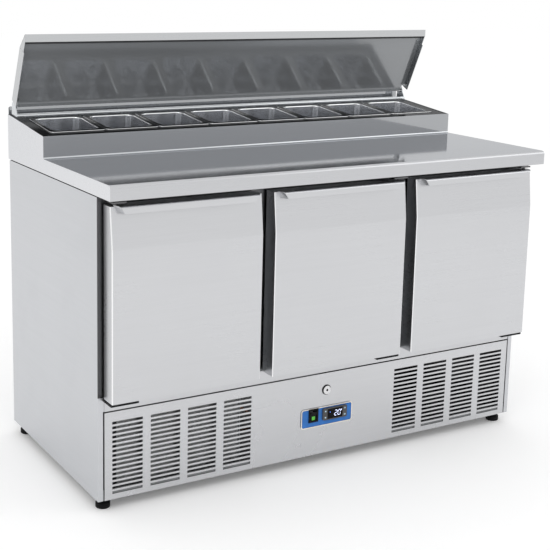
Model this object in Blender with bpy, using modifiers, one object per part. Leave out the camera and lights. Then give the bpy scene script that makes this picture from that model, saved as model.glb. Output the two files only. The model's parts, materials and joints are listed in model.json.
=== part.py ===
"""Sandwich prep table: a three-door refrigerated counter with a row of lift-out pans under a hinged lid.

Metres, +Z up. The origin is on the floor under the middle of the counter, and the front faces -Y.
"""

import math

import bmesh
import bpy
from mathutils import Matrix, Vector

# Counter
WIDTH = 1.365
DEPTH = 0.700
WORK_HEIGHT = 0.850
WORKTOP_THICKNESS = 0.038
WORKTOP_OVERHANG = 0.081
WORKTOP_WALL = 0.002
NOSE_RADIUS = 0.009
SIDE_OVERHANG = 0.003
SHADOW_LINE = 0.004
SHEET = 0.0015
FIT = 0.0003

# Raised pan housing and its sloping deck
HOUSING_DEPTH = 0.273
HOUSING_HEIGHT = 0.060
DECK_SLOPE = math.radians(5.9)
DECK_SHEET = 0.002
DECK_DROP = 0.001
DECK_LEDGE = 0.006
LEDGE_SHEET = 0.004
REAR_UPSTAND = 0.0215

# Lift-out pans, as many as the deck has room for
PAN_PITCH = 0.162
PAN_END_BORDER = 0.030
PAN_GAP = 0.001
PAN_LENGTH = 0.176
PAN_DEPTH = 0.098
PAN_RIM = 0.012
PAN_RIM_THICKNESS = 0.0025
PAN_WALL = 0.001
PAN_TAPER = 0.93
PAN_CORNER = 0.022
PAN_FRONT = 0.034
PAN_CLEARANCE = 0.0013

# Lid, measured from its pivot: forward along the deck, and up from it
PIVOT_FROM_BACK = 0.029
PIVOT_HEIGHT = 0.0298
LID_OPEN = math.radians(71.0)
LID_END_GAP = 0.0025
LID_REAR = 0.007
LID_REAR_DROP = 0.020
LID_TOP = 0.0068
LID_FLAT_END = 0.1815
LID_NOSE = 0.2313
LID_NOSE_DROP = 0.016
LID_LIP_END = 0.2123
LID_LIP_DROP = 0.025
LID_SKIRT_CLEARANCE = 0.0006
LID_NOTCH = 0.015
LID_NOTCH_WIDTH = 0.010
LID_INNER_DROP = 0.010
LID_INNER_FRONT = 0.205
LUG_THICKNESS = 0.003
LUG_RADIUS = 0.009
LUG_TAIL = 0.026
LID_PIN_DIAMETER = 0.008
PIN_CLEARANCE = 0.0003
BRACKET_THICKNESS = 0.003
BRACKET_FOOT = 0.012
RAIL_WIDTH = 0.014
RAIL_HEIGHT = 0.0115
RAIL_FORWARD = 0.016
RAIL_ROUND = 0.005

# Cabinet
FOOT_HEIGHT = 0.030
FOOT_DIAMETER = 0.038
FOOT_NECK = 0.026
FOOT_PAD = 0.0135
FOOT_SHOULDER = 0.018
FOOT_INSET_X = 0.0275
FOOT_INSET_Y = 0.034
TRAY_HEIGHT = 0.028
TRAY_SHEET = 0.002
PANEL_FLANGE = 0.014
PANEL_GAP = 0.0038
GRILLE_HEIGHT = 0.232
FRAME_DEPTH = 0.012
INSULATION = 0.045
LINER_FLANGE = 0.030
MULLION_DEPTH = 0.050
MULLION_TONGUE = 0.038
SHELF_OVER_FLOOR = 0.1715
SHELF_DEPTH = 0.450
SHELF_THICKNESS = 0.006
SHELF_BAR = 0.006
SHELF_GAPS = 9
SHELF_SIDE_GAP = 0.006
SHELF_FROM_FRAME = 0.052
RUNNER_REACH = 0.012
RUNNER_HEIGHT = 0.010
RUNNER_SETBACK = 0.020
RUNNER_BACKING = 0.010
WELL_INSET = 0.015
BACK_VENT_COLUMNS = 4
BACK_VENT_ROWS = 8
BACK_VENT_LENGTH = 0.160
BACK_VENT_HEIGHT = 0.008
BACK_VENT_PITCH_X = 0.230
BACK_VENT_PITCH_Z = 0.018
BACK_VENT_UP = 0.055

# Doors, with the side that each one hinges on: -1 for its left edge, 1 for its right edge
DOOR_HINGES = {"left": -1, "middle": 1, "right": 1}
DOOR_FROM_END = 0.01625
DOOR_GAP = 0.037
DOOR_OVER_GRILLE = 0.041
DOOR_TOP_GAP = 0.020
DOOR_BREAK_DROP = 0.104
DOOR_SETBACK = 0.012
DOOR_THICKNESS = 0.049
DOOR_STANDOFF = 0.008
DOOR_WALL = 0.002
GASKET_INSET = 0.020
GASKET_WIDTH = 0.014
GASKET_GAP = 0.0005
SEAL_MARGIN = 0.0015
PIVOT_INSET = 0.018
PIVOT_FORWARD = 0.036
HINGE_PIN_DIAMETER = 0.008
HINGE_PIN_REACH = 0.010
HANDLE_INSET = 0.007
HANDLE_SEAT = 0.0040
HANDLE_REACH = 0.022
HANDLE_DROP = 0.0195
HANDLE_SHEET = 0.003
HANDLE_ROUND = 0.007
LUG_LENGTH = 0.046
LUG_REACH = 0.014
TOP_LUG_SHEET = 0.004
TOP_LUG_GAP = 0.007
LOWER_HINGE_LENGTH = 0.075
LOWER_HINGE_SHEET = 0.005
LOWER_HINGE_GAP = 0.0035

# Front grille
SLOT_COLUMNS = 4
SLOT_ROWS = 16
SLOT_LENGTH = 0.084
SLOT_HEIGHT = 0.007
SLOT_PITCH_X = 0.1065
SLOT_PITCH_Z = 0.0123
SLOT_END_MARGIN = 0.0212
SLOT_FIRST_UP = 0.018

# Controls on the grille
FASCIA_X = 0.007
FASCIA_UP = 0.109
FASCIA_WIDTH = 0.170
FASCIA_HEIGHT = 0.056
FASCIA_ROUND = 0.008
FASCIA_THICKNESS = 0.0015
SWITCH_LEFT = 0.0455
SWITCH_RAISE = 0.0075
SWITCH_WIDTH = 0.031
SWITCH_HEIGHT = 0.038
SWITCH_RIM = 0.0025
SWITCH_BORDER = 0.0045
SWITCH_WALL = 0.0022
SWITCH_DEPTH = 0.016
ROCKER_GAP = 0.0006
ROCKER_PIVOT_DEPTH = 0.004
ROCKER_PIN_DIAMETER = 0.0044
ROCKER_TILT = math.radians(10.0)
ROCKER_PROUD = 0.0035
THERMOSTAT_RIGHT = 0.024
THERMOSTAT_RAISE = 0.0055
THERMOSTAT_WIDTH = 0.080
THERMOSTAT_HEIGHT = 0.034
THERMOSTAT_RIM = 0.005
THERMOSTAT_BORDER = 0.004
THERMOSTAT_ROUND = 0.004
THERMOSTAT_DEPTH = 0.045
LENS_WIDTH = 0.050
LENS_HEIGHT = 0.028
LENS_THICKNESS = 0.0012
BUTTON_WIDTH = 0.0075
BUTTON_HEIGHT = 0.0065
BUTTON_SPACING_X = 0.0645
BUTTON_SPACING_Z = 0.018
BUTTON_LENGTH = 0.0032
BUTTON_TRAVEL = 0.0010
BUTTON_PROUD = 0.0006
LOCK_X = 0.004
LOCK_DROP = 0.048
LOCK_DIAMETER = 0.024
LOCK_NECK = 0.021
LOCK_PROUD = 0.004
LOCK_DEPTH = 0.014
BARREL_DIAMETER = 0.017
KEYHOLE_WIDTH = 0.002
KEYHOLE_HEIGHT = 0.008
CAM_WIDTH = 0.014
CAM_SHEET = 0.002
CAM_OVERLAP = 0.009

# Machine space under the cold room
CONDENSER_END_GAP = 0.0577
CONDENSER_WIDTH = 0.360
CONDENSER_HEIGHT = 0.205
CONDENSER_THICKNESS = 0.035
CONDENSER_SETBACK = 0.020
CONDENSER_FINS = 30
FIN_THICKNESS = 0.003
FIN_SPINE = 0.006
FAN_FRAME_GAP = 0.003
FAN_FRAME_SHEET = 0.003
FAN_FRAME_WIDTH = 0.240
FAN_DIAMETER = 0.150
FAN_RUNNING_GAP = 0.006
FAN_BLADES = 5
FAN_HUB = 0.040
FAN_HUB_LENGTH = 0.020
FAN_PITCH = math.radians(32.0)
FAN_BLADE_WIDTH = 0.030
FAN_BLADE_SHEET = 0.0025
FAN_SHAFT = 0.008
FAN_CLEARANCE = 0.004
MOTOR_DIAMETER = 0.070
MOTOR_LENGTH = 0.060
MOTOR_STAND = 0.050
COMPRESSOR_END_GAP = 0.1327
COMPRESSOR_SETBACK = 0.300
COMPRESSOR_DIAMETER = 0.170
COMPRESSOR_HEIGHT = 0.185
COMPRESSOR_DOME = 0.0425
COMPRESSOR_DOME_STEPS = 3
COMPRESSOR_BASE = 0.210
COMPRESSOR_BASE_SHEET = 0.004
PIPE_DIAMETER = 0.008
PIPE_BEND = 0.030
PIPE_RUN_GAP = 0.110
PIPE_UP = 0.088
EVAPORATOR_WIDTH = 0.600
EVAPORATOR_HEIGHT = 0.180
EVAPORATOR_THICKNESS = 0.060
EVAPORATOR_HEADROOM = 0.012
EVAPORATOR_FINS = 24

# Places that follow from the sizes above
HALF = WIDTH / 2
BACK = DEPTH / 2
FRONT = -DEPTH / 2 + WORKTOP_OVERHANG
BODY_X = HALF - SIDE_OVERHANG
INSIDE_X = BODY_X - SHEET - FIT
FRAME_X = BODY_X - PANEL_FLANGE - PANEL_GAP
TOP_UNDERSIDE = WORK_HEIGHT - WORKTOP_THICKNESS
PANEL_TOP = TOP_UNDERSIDE - SHADOW_LINE
GRILLE_TOP = FOOT_HEIGHT + GRILLE_HEIGHT
SILL_BOTTOM = GRILLE_TOP + PANEL_GAP
DOOR_BOTTOM = GRILLE_TOP + DOOR_OVER_GRILLE
DOOR_TOP = TOP_UNDERSIDE - DOOR_TOP_GAP
DOORS_X = HALF - DOOR_FROM_END
DOOR_PITCH = (2 * DOORS_X + DOOR_GAP) / len(DOOR_HINGES)
DOOR_WIDTH = DOOR_PITCH - DOOR_GAP
SEAL_LANDING = GASKET_INSET + GASKET_WIDTH + SEAL_MARGIN
OPENING_X = DOORS_X - SEAL_LANDING
OPENING_BOTTOM = DOOR_BOTTOM + SEAL_LANDING
OPENING_TOP = DOOR_TOP - SEAL_LANDING
SHELF_HEIGHT = OPENING_BOTTOM + SHELF_OVER_FLOOR
MULLION_X = DOOR_PITCH / 2
MULLION_WIDTH = DOOR_GAP + 2 * SEAL_LANDING
LINER_BACK = BACK - INSULATION
LINER_FRONT = FRONT + FRAME_DEPTH + FIT
DOOR_REAR = FRONT - DOOR_STANDOFF
DOOR_FACE = DOOR_REAR - DOOR_THICKNESS
HOUSING_FRONT = BACK - HOUSING_DEPTH
DECK_FRONT_Z = WORK_HEIGHT + HOUSING_HEIGHT
DECK_BACK_Z = DECK_FRONT_Z + HOUSING_DEPTH * math.tan(DECK_SLOPE)
DECK_LENGTH = HOUSING_DEPTH / math.cos(DECK_SLOPE)
PAN_COUNT = int((WIDTH - 2 * PAN_END_BORDER) / PAN_PITCH)
PAN_WIDTH = PAN_PITCH - PAN_GAP
PAN_BODY = (PAN_WIDTH - 2 * PAN_RIM, PAN_LENGTH - 2 * PAN_RIM)
PAN_MIDDLE = PAN_FRONT + PAN_LENGTH / 2
LID_WIDTH = WIDTH - 2 * LID_END_GAP
TRAY_TOP = FOOT_HEIGHT + TRAY_SHEET
FASCIA_FACE = FRONT - FIT - FASCIA_THICKNESS
FASCIA_Z = FOOT_HEIGHT + FASCIA_UP
SWITCH_X = FASCIA_X - SWITCH_LEFT
SWITCH_Z = FASCIA_Z + SWITCH_RAISE
THERMOSTAT_X = FASCIA_X + THERMOSTAT_RIGHT
THERMOSTAT_Z = FASCIA_Z + THERMOSTAT_RAISE
LOCK_Z = GRILLE_TOP - LOCK_DROP
PIVOT_DECK = (HOUSING_DEPTH - PIVOT_FROM_BACK) / math.cos(DECK_SLOPE) + PIVOT_HEIGHT * math.tan(DECK_SLOPE)
BRACKET_X = LID_WIDTH / 2 - LID_NOTCH_WIDTH + LUG_THICKNESS
SWITCH_BODY = (SWITCH_WIDTH - SWITCH_BORDER, SWITCH_HEIGHT - SWITCH_BORDER)
THERMOSTAT_BODY = (THERMOSTAT_WIDTH - 2 * THERMOSTAT_BORDER, THERMOSTAT_HEIGHT - 2 * THERMOSTAT_BORDER)
SLOTS_X = FRAME_X - SLOT_END_MARGIN - SLOT_LENGTH / 2
CONDENSER_X = CONDENSER_END_GAP + CONDENSER_WIDTH / 2 - INSIDE_X
COMPRESSOR_X = INSIDE_X - COMPRESSOR_END_GAP - COMPRESSOR_BASE / 2
FAN_Z = TRAY_TOP + FIT + CONDENSER_HEIGHT / 2

# Finishes: colour, roughness, metallic
FINISHES = {
    "steel": ((0.62, 0.63, 0.65, 1), 0.32, 1.0),
    "polished_steel": ((0.60, 0.61, 0.63, 1), 0.15, 1.0),
    "dark_steel": ((0.30, 0.31, 0.32, 1), 0.35, 1.0),
    "galvanised": ((0.48, 0.50, 0.52, 1), 0.50, 1.0),
    "aluminium": ((0.55, 0.56, 0.57, 1), 0.45, 1.0),
    "chrome": ((0.75, 0.75, 0.76, 1), 0.12, 1.0),
    "black_plastic": ((0.02, 0.02, 0.02, 1), 0.45, 0.0),
    "grey_plastic": ((0.28, 0.27, 0.26, 1), 0.45, 0.0),
    "grey_rubber": ((0.20, 0.20, 0.21, 1), 0.70, 0.0),
    "blue_plastic": ((0.05, 0.17, 0.52, 1), 0.40, 0.0),
    "green_lens": ((0.10, 0.50, 0.08, 1), 0.30, 0.0),
    "black_glass": ((0.01, 0.01, 0.015, 1), 0.08, 0.0),
    "black_paint": ((0.03, 0.03, 0.03, 1), 0.50, 0.0),
    "copper": ((0.72, 0.38, 0.22, 1), 0.35, 1.0),
}

for old in list(bpy.data.objects):
    bpy.data.objects.remove(old)
PARTS = bpy.data.collections.new("sandwich_prep_table")
CUTTERS = bpy.data.collections.new("cutters")
bpy.context.scene.collection.children.link(PARTS)
bpy.context.scene.collection.children.link(CUTTERS)

# Turns an outline drawn in (u, v), with its thickness along w, to stand across each axis
STANDING = {
    "X": Matrix(((0, 0, 1, 0), (1, 0, 0, 0), (0, 1, 0, 0), (0, 0, 0, 1))),
    "Y": Matrix(((1, 0, 0, 0), (0, 0, -1, 0), (0, 1, 0, 0), (0, 0, 0, 1))),
    "Z": Matrix.Identity(4),
}


def empty(name, location, turn_x=0.0):
    """An axis or a sloping plane that other pieces are placed in."""
    frame = bpy.data.objects.new(name, None)
    frame.location = location
    frame.rotation_euler = (turn_x, 0, 0)
    PARTS.objects.link(frame)
    return frame


def piece(name, mesh, finish, parent=None, location=(0, 0, 0), turn_x=0.0):
    obj = bpy.data.objects.new(name, mesh)
    obj.parent = parent
    obj.location = location
    obj.rotation_euler = (turn_x, 0, 0)
    PARTS.objects.link(obj)
    colour, roughness, metallic = FINISHES[finish]
    material = bpy.data.materials.new(f"{name}_{finish}")
    material.use_nodes = True
    shader = material.node_tree.nodes["Principled BSDF"]
    shader.inputs["Base Color"].default_value = colour
    shader.inputs["Roughness"].default_value = roughness
    shader.inputs["Metallic"].default_value = metallic
    mesh.materials.append(material)
    return obj


def combine(obj, mesh, operation):
    """Joins a shape to the piece, or cuts it away, in the piece's own frame."""
    tool = bpy.data.objects.new(f"{obj.name}_{operation.lower()}", mesh)
    tool.parent = obj.parent
    tool.location = obj.location
    tool.rotation_euler = obj.rotation_euler
    tool.hide_render = True
    tool.display_type = "WIRE"
    CUTTERS.objects.link(tool)
    boolean = obj.modifiers.new(operation.lower(), "BOOLEAN")
    boolean.operation = operation
    boolean.solver = "EXACT"
    boolean.object = tool


def join(obj, mesh):
    combine(obj, mesh, "UNION")


def cut(obj, mesh):
    combine(obj, mesh, "DIFFERENCE")


def mesh_from(shape, name):
    bmesh.ops.recalc_face_normals(shape, faces=shape.faces)
    mesh = bpy.data.meshes.new(name)
    shape.to_mesh(mesh)
    shape.free()
    return mesh


def box(low, high):
    shape = bmesh.new()
    bmesh.ops.create_cube(shape, size=1.0)
    low, high = Vector(low), Vector(high)
    bmesh.ops.scale(shape, vec=high - low, verts=shape.verts)
    bmesh.ops.translate(shape, vec=(low + high) / 2, verts=shape.verts)
    return mesh_from(shape, "box")


def rod(start, end, diameter, sides=20):
    """A round bar between two points."""
    start, end = Vector(start), Vector(end)
    run = end - start
    shape = bmesh.new()
    bmesh.ops.create_cone(
        shape, cap_ends=True, segments=sides, radius1=diameter / 2, radius2=diameter / 2, depth=run.length
    )
    turn = run.to_track_quat("Z", "Y").to_matrix().to_4x4()
    bmesh.ops.transform(shape, matrix=Matrix.Translation((start + end) / 2) @ turn, verts=shape.verts)
    mesh = mesh_from(shape, "rod")
    mesh.shade_smooth()
    mesh.set_sharp_from_angle(angle=math.radians(40))
    return mesh


def plate(outlines, low, high, across):
    """A flat outline with any holes, thick from low to high across one axis."""
    curve = bpy.data.curves.new("outline", "CURVE")
    curve.dimensions = "2D"
    curve.fill_mode = "BOTH"
    curve.extrude = (high - low) / 2
    for outline in outlines:
        spline = curve.splines.new("POLY")
        spline.points.add(len(outline) - 1)
        for point, (u, v) in zip(spline.points, outline):
            point.co = (u, v, 0, 1)
        spline.use_cyclic_u = True
    guide = bpy.data.objects.new("outline", curve)
    CUTTERS.objects.link(guide)
    graph = bpy.context.evaluated_depsgraph_get()
    flat = bpy.data.meshes.new_from_object(guide.evaluated_get(graph))
    bpy.data.objects.remove(guide)
    shape = bmesh.new()
    shape.from_mesh(flat)
    bmesh.ops.remove_doubles(shape, verts=shape.verts, dist=1e-6)
    middle = (low + high) / 2 * (-1 if across == "Y" else 1)
    place = STANDING[across] @ Matrix.Translation((0, 0, middle))
    bmesh.ops.transform(shape, matrix=place, verts=shape.verts)
    return mesh_from(shape, "plate")


def rectangle(low, high):
    return [(low[0], low[1]), (high[0], low[1]), (high[0], high[1]), (low[0], high[1])]


def centred(u, v, width, height):
    return rectangle((u - width / 2, v - height / 2), (u + width / 2, v + height / 2))


def arc(centre, radius, start, end, steps):
    """Points along an arc, with its angles in degrees."""
    points = []
    for i in range(steps + 1):
        angle = math.radians(start + (end - start) * i / steps)
        points.append((centre[0] + radius * math.cos(angle), centre[1] + radius * math.sin(angle)))
    return points


def rounded(u, v, width, height, radius, steps=3):
    """A centred rectangle with round corners."""
    a, b = width / 2 - radius, height / 2 - radius
    corners = ((u + a, v - b, -90), (u + a, v + b, 0), (u - a, v + b, 90), (u - a, v - b, 180))
    return [point for x, y, turn in corners for point in arc((x, y), radius, turn, turn + 90, steps)]


def circle(u, v, diameter, sides=20):
    return arc((u, v), diameter / 2, 0, 360, sides)[:-1]


def offset(points, distance, closed=True):
    """The line moved sideways to its left by a distance, with mitred corners."""
    moved = []
    count = len(points)
    for i, point in enumerate(points):
        before = points[i - 1] if closed or i > 0 else None
        after = points[(i + 1) % count] if closed or i < count - 1 else None
        normals = []
        for start, end in ((before, point), (point, after)):
            if start is not None and end is not None:
                run = (Vector(end) - Vector(start)).normalized()
                normals.append(Vector((-run.y, run.x)))
        mitre = sum(normals, Vector((0, 0))).normalized()
        moved.append(tuple(Vector(point) + mitre * distance / mitre.dot(normals[0])))
    return moved


def folded(points, thickness):
    """The outline of a sheet folded along a line, with its thickness to the left of the line."""
    return points + offset(points, thickness, closed=False)[::-1]


def turned(name, profile, finish, steps=24, **place):
    """A round piece from its outer profile, given top to bottom as (radius, height)."""
    mesh = bpy.data.meshes.new(name)
    mesh.from_pydata([(r, 0, z) for r, z in profile], [(i, i + 1) for i in range(len(profile) - 1)], [])
    obj = piece(name, mesh, finish, **place)
    screw = obj.modifiers.new("turn", "SCREW")
    screw.steps = screw.render_steps = steps
    screw.use_merge_vertices = True
    screw.merge_threshold = 1e-5
    screw.use_smooth_shade = True
    return obj


def comb(low, high, count, fin, spine):
    """The outline of a row of fins on a spine, seen from above."""
    pitch = (high[0] - low[0] - fin) / (count - 1)
    outline = [(low[0], high[1])]
    for i in range(count):
        left = low[0] + i * pitch
        if i:
            outline.append((left, high[1] - spine))
        outline += [(left, low[1]), (left + fin, low[1])]
        if i < count - 1:
            outline.append((left + fin, high[1] - spine))
    return outline + [(high[0], high[1])]


def rounded_path(corners, radius, steps=4):
    """A path through corners in one plane, with each inner corner eased by an arc-like curve."""
    path = [Vector(corners[0])]
    for before, corner, after in zip(corners, corners[1:], corners[2:]):
        corner = Vector(corner)
        start = corner + (Vector(before) - corner).normalized() * radius
        end = corner + (Vector(after) - corner).normalized() * radius
        for i in range(steps + 1):
            t = i / steps
            path.append(start * (1 - t) ** 2 + corner * 2 * t * (1 - t) + end * t**2)
    return path + [Vector(corners[-1])]


def tube(name, path, diameter, finish):
    curve = bpy.data.curves.new(name, "CURVE")
    curve.dimensions = "3D"
    curve.bevel_depth = diameter / 2
    curve.bevel_resolution = 2
    curve.use_fill_caps = True
    spline = curve.splines.new("POLY")
    spline.points.add(len(path) - 1)
    for point, place in zip(spline.points, path):
        point.co = (*place, 1)
    return piece(name, curve, finish)


def feet():
    for side, x in (("left", -1), ("right", 1)):
        for end, y in (("front", FRONT + FOOT_INSET_Y), ("rear", BACK - FOOT_INSET_Y)):
            top = FOOT_HEIGHT - FIT
            profile = [
                (0, top),
                (FOOT_NECK / 2, top),
                (FOOT_NECK / 2, FOOT_SHOULDER),
                (FOOT_DIAMETER / 2, FOOT_PAD),
                (FOOT_DIAMETER / 2, 0),
                (0, 0),
            ]
            place = (x * (BODY_X - FOOT_INSET_X), y, 0)
            turned(f"{end}_{side}_foot", profile, "black_plastic", steps=16, location=place)


def carcass():
    low = Vector((-INSIDE_X, FRONT + SHEET + FIT, FOOT_HEIGHT))
    high = Vector((INSIDE_X, BACK - SHEET - FIT, FOOT_HEIGHT + TRAY_HEIGHT))
    tray = piece("base_tray", box(low, high), "galvanised")
    wall = Vector((TRAY_SHEET, TRAY_SHEET, TRAY_SHEET))
    cut(tray, box(low + wall, high + Vector((-TRAY_SHEET, -TRAY_SHEET, TRAY_HEIGHT))))
    for name, side in (("left_side_panel", -1), ("right_side_panel", 1)):
        section = [
            (side * BODY_X, FRONT),
            (side * BODY_X, BACK),
            (side * (BODY_X - SHEET), BACK),
            (side * (BODY_X - SHEET), FRONT + SHEET),
            (side * (BODY_X - PANEL_FLANGE), FRONT + SHEET),
            (side * (BODY_X - PANEL_FLANGE), FRONT),
        ]
        piece(name, plate([section], FOOT_HEIGHT, PANEL_TOP, "Z"), "steel")
    vents = []
    for column in range(BACK_VENT_COLUMNS):
        for row in range(BACK_VENT_ROWS):
            x = (column - (BACK_VENT_COLUMNS - 1) / 2) * BACK_VENT_PITCH_X
            z = FOOT_HEIGHT + BACK_VENT_UP + row * BACK_VENT_PITCH_Z
            vents.append(centred(x, z, BACK_VENT_LENGTH, BACK_VENT_HEIGHT))
    sheet = rectangle((-INSIDE_X, FOOT_HEIGHT), (INSIDE_X, PANEL_TOP))
    piece("back_panel", plate([sheet] + vents, BACK - SHEET, BACK, "Y"), "galvanised")


def cold_room():
    """The liner: a box open at the front and under the pans, with a flange at its mouth and shelf ledges."""
    inner_low = Vector((-OPENING_X, LINER_FRONT, OPENING_BOTTOM))
    inner_high = Vector((OPENING_X, LINER_BACK - SHEET, OPENING_TOP))
    low = inner_low - Vector((SHEET, 0, SHEET))
    high = inner_high + Vector((SHEET, SHEET, SHEET))
    liner = piece("cold_room_liner", box(low, high), "steel")
    flange = Vector((LINER_FLANGE, 0, LINER_FLANGE))
    flange_high = Vector((inner_high.x, LINER_FRONT + SHEET, inner_high.z))
    join(liner, box(inner_low - flange, flange_high + flange))
    cut(liner, box(inner_low - Vector((0, INSULATION, 0)), inner_high))
    for side in (-1, 1):
        ledge = sorted((side * (OPENING_X + SHEET / 2), side * (OPENING_X - RUNNER_REACH)))
        join(
            liner,
            box(
                (ledge[0], LINER_FRONT + RUNNER_SETBACK, SHELF_HEIGHT - RUNNER_HEIGHT),
                (ledge[1], LINER_BACK - SHEET / 2, SHELF_HEIGHT),
            ),
        )
    well_low = (-OPENING_X + WELL_INSET, HOUSING_FRONT + WELL_INSET, OPENING_TOP - WELL_INSET)
    well_high = (OPENING_X - WELL_INSET, LINER_BACK - WELL_INSET, OPENING_TOP + WELL_INSET)
    cut(liner, box(well_low, well_high))


def door_pivot(centre, side):
    """Where a door's hinge axis stands in plan; side is 1 for hinges on the right."""
    return centre + side * (DOOR_WIDTH / 2 - PIVOT_INSET), FRONT - PIVOT_FORWARD


def doors():
    """Each door's name, the middle of its width and the side that it hinges on."""
    first = DOOR_WIDTH / 2 - DOORS_X
    return [(name, first + i * DOOR_PITCH, side) for i, (name, side) in enumerate(DOOR_HINGES.items())]


def front_frame():
    """The face frame that the gaskets seal on, with the welded lugs and pins of the upper hinges."""
    face = rectangle((-INSIDE_X, SILL_BOTTOM), (INSIDE_X, TOP_UNDERSIDE - FIT))
    opening = rectangle((-OPENING_X, OPENING_BOTTOM), (OPENING_X, OPENING_TOP))
    frame = piece("front_frame", plate([face, opening], FRONT, FRONT + FRAME_DEPTH, "Y"), "steel")
    for side in (-1, 1):
        x = sorted((side * FRAME_X, side * BODY_X))
        cut(frame, box((x[0], FRONT - SHEET, FOOT_HEIGHT), (x[1], FRONT + SHEET + FIT, WORK_HEIGHT)))
        notch = MULLION_WIDTH / 2 + FIT
        low = (side * MULLION_X - notch, FRONT - SHEET, OPENING_BOTTOM - MULLION_TONGUE - FIT)
        high = (side * MULLION_X + notch, FRONT + FRAME_DEPTH + SHEET, OPENING_BOTTOM + SEAL_LANDING)
        cut(frame, box(low, high))
    for _, centre, side in doors():
        x, y = door_pivot(centre, side)
        z = DOOR_TOP + TOP_LUG_GAP
        low = (max(x - LUG_LENGTH / 2, FIT - FRAME_X), y - LUG_REACH, z)
        high = (min(x + LUG_LENGTH / 2, FRAME_X - FIT), FRONT + FRAME_DEPTH / 2, z + TOP_LUG_SHEET)
        join(frame, box(low, high))
        tip = DOOR_TOP - HINGE_PIN_REACH
        join(frame, rod((x, y, tip), (x, y, z + TOP_LUG_SHEET / 2), HINGE_PIN_DIAMETER))


def mullions():
    """The posts between the doors, each let into the sill by a tongue, with shelf rails on both sides."""
    back = LINER_BACK - SHEET - FIT
    for name, x in (("left_mullion", -MULLION_X), ("right_mullion", MULLION_X)):
        low = (x - MULLION_WIDTH / 2, FRONT, OPENING_BOTTOM + FIT)
        high = (x + MULLION_WIDTH / 2, FRONT + MULLION_DEPTH, OPENING_TOP - FIT)
        post = piece(name, box(low, high), "dark_steel")
        tongue = (low[0], FRONT, OPENING_BOTTOM - MULLION_TONGUE)
        join(post, box(tongue, (high[0], FRONT + FRAME_DEPTH, low[2] + SHEET / 2)))
        for side in (-1, 1):
            edge = x + side * MULLION_WIDTH / 2
            reach = sorted((edge - side * RUNNER_BACKING, edge + side * RUNNER_REACH))
            join(
                post,
                box(
                    (reach[0], FRONT + RUNNER_SETBACK, SHELF_HEIGHT - RUNNER_HEIGHT),
                    (reach[1], back, SHELF_HEIGHT),
                ),
            )
        skin = Vector((SHEET, SHEET, SHEET))
        cut(post, box(Vector(low) + skin, Vector(high) + Vector((-SHEET, SHEET, -SHEET))))


def shelves():
    middle_width = 2 * MULLION_X - MULLION_WIDTH
    outer_width = OPENING_X - MULLION_X - MULLION_WIDTH / 2
    outer_x = OPENING_X - outer_width / 2
    rooms = (("left", -outer_x, outer_width), ("middle", 0.0, middle_width), ("right", outer_x, outer_width))
    y = FRONT + SHELF_FROM_FRAME
    z = SHELF_HEIGHT + FIT
    for name, x, room in rooms:
        width = room - 2 * SHELF_SIDE_GAP
        outline = rectangle((x - width / 2, y), (x + width / 2, y + SHELF_DEPTH))
        gap = (width - SHELF_BAR * (SHELF_GAPS + 1)) / SHELF_GAPS
        gaps = []
        for i in range(SHELF_GAPS):
            left = x - width / 2 + SHELF_BAR + i * (gap + SHELF_BAR)
            gaps.append(rectangle((left, y + SHELF_BAR), (left + gap, y + SHELF_DEPTH - SHELF_BAR)))
        piece(f"{name}_shelf", plate([outline] + gaps, z, z + SHELF_THICKNESS, "Z"), "chrome")


def worktop():
    """The worktop with its rounded front edge, the welded pan housing and the upstand behind the lid."""
    front = -DEPTH / 2
    nose = (front + NOSE_RADIUS, WORK_HEIGHT - NOSE_RADIUS)
    outside = [(front, TOP_UNDERSIDE), (BACK, TOP_UNDERSIDE), (BACK, DECK_BACK_Z)]
    outside += [(HOUSING_FRONT, DECK_FRONT_Z), (HOUSING_FRONT, WORK_HEIGHT)]
    outside += arc(nose, NOSE_RADIUS, 90, 180, 5)
    top = piece("worktop", plate([outside], -HALF, HALF, "X"), "polished_steel")
    wall = WORKTOP_WALL
    cavity = rectangle(
        (front + wall, TOP_UNDERSIDE + wall), (HOUSING_FRONT + 2 * wall + DECK_LEDGE, WORK_HEIGHT - wall)
    )
    cavity = cavity[:-1] + arc((nose[0], nose[1]), NOSE_RADIUS - wall, 90, 180, 5)
    cut(top, plate([cavity], -HALF + wall, HALF - wall, "X"))
    thick = wall + DECK_LEDGE
    ledge_drop = (DECK_SHEET + DECK_DROP + FIT) / math.cos(DECK_SLOPE)
    slope = math.tan(DECK_SLOPE)
    above = WORK_HEIGHT + DECK_BACK_Z - TOP_UNDERSIDE
    ends = (HOUSING_FRONT + wall, BACK - wall)
    seat = [(y, DECK_FRONT_Z + slope * (y - HOUSING_FRONT) - ledge_drop) for y in ends]
    pocket = seat + [(ends[1], above), (ends[0], above)]
    cut(top, plate([pocket], -HALF + wall, HALF - wall, "X"))
    inside = [(y, z - LEDGE_SHEET) for y, z in seat] + [(y, TOP_UNDERSIDE - thick) for y in reversed(ends)]
    cut(top, plate([inside], -HALF + wall, HALF - wall, "X"))
    well = rectangle((HOUSING_FRONT + thick, TOP_UNDERSIDE - thick), (BACK - thick, above))
    cut(top, plate([well], -HALF + thick, HALF - thick, "X"))
    between = BRACKET_X - LUG_THICKNESS
    root = DECK_BACK_Z - DECK_DROP
    upstand_low = (-between, BACK - wall + FIT, root)
    join(top, box(upstand_low, (between, BACK - FIT, DECK_BACK_Z + REAR_UPSTAND)))


def pan_places():
    """The middle of each pan across the counter."""
    return [(i - (PAN_COUNT - 1) / 2) * PAN_PITCH for i in range(PAN_COUNT)]


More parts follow.
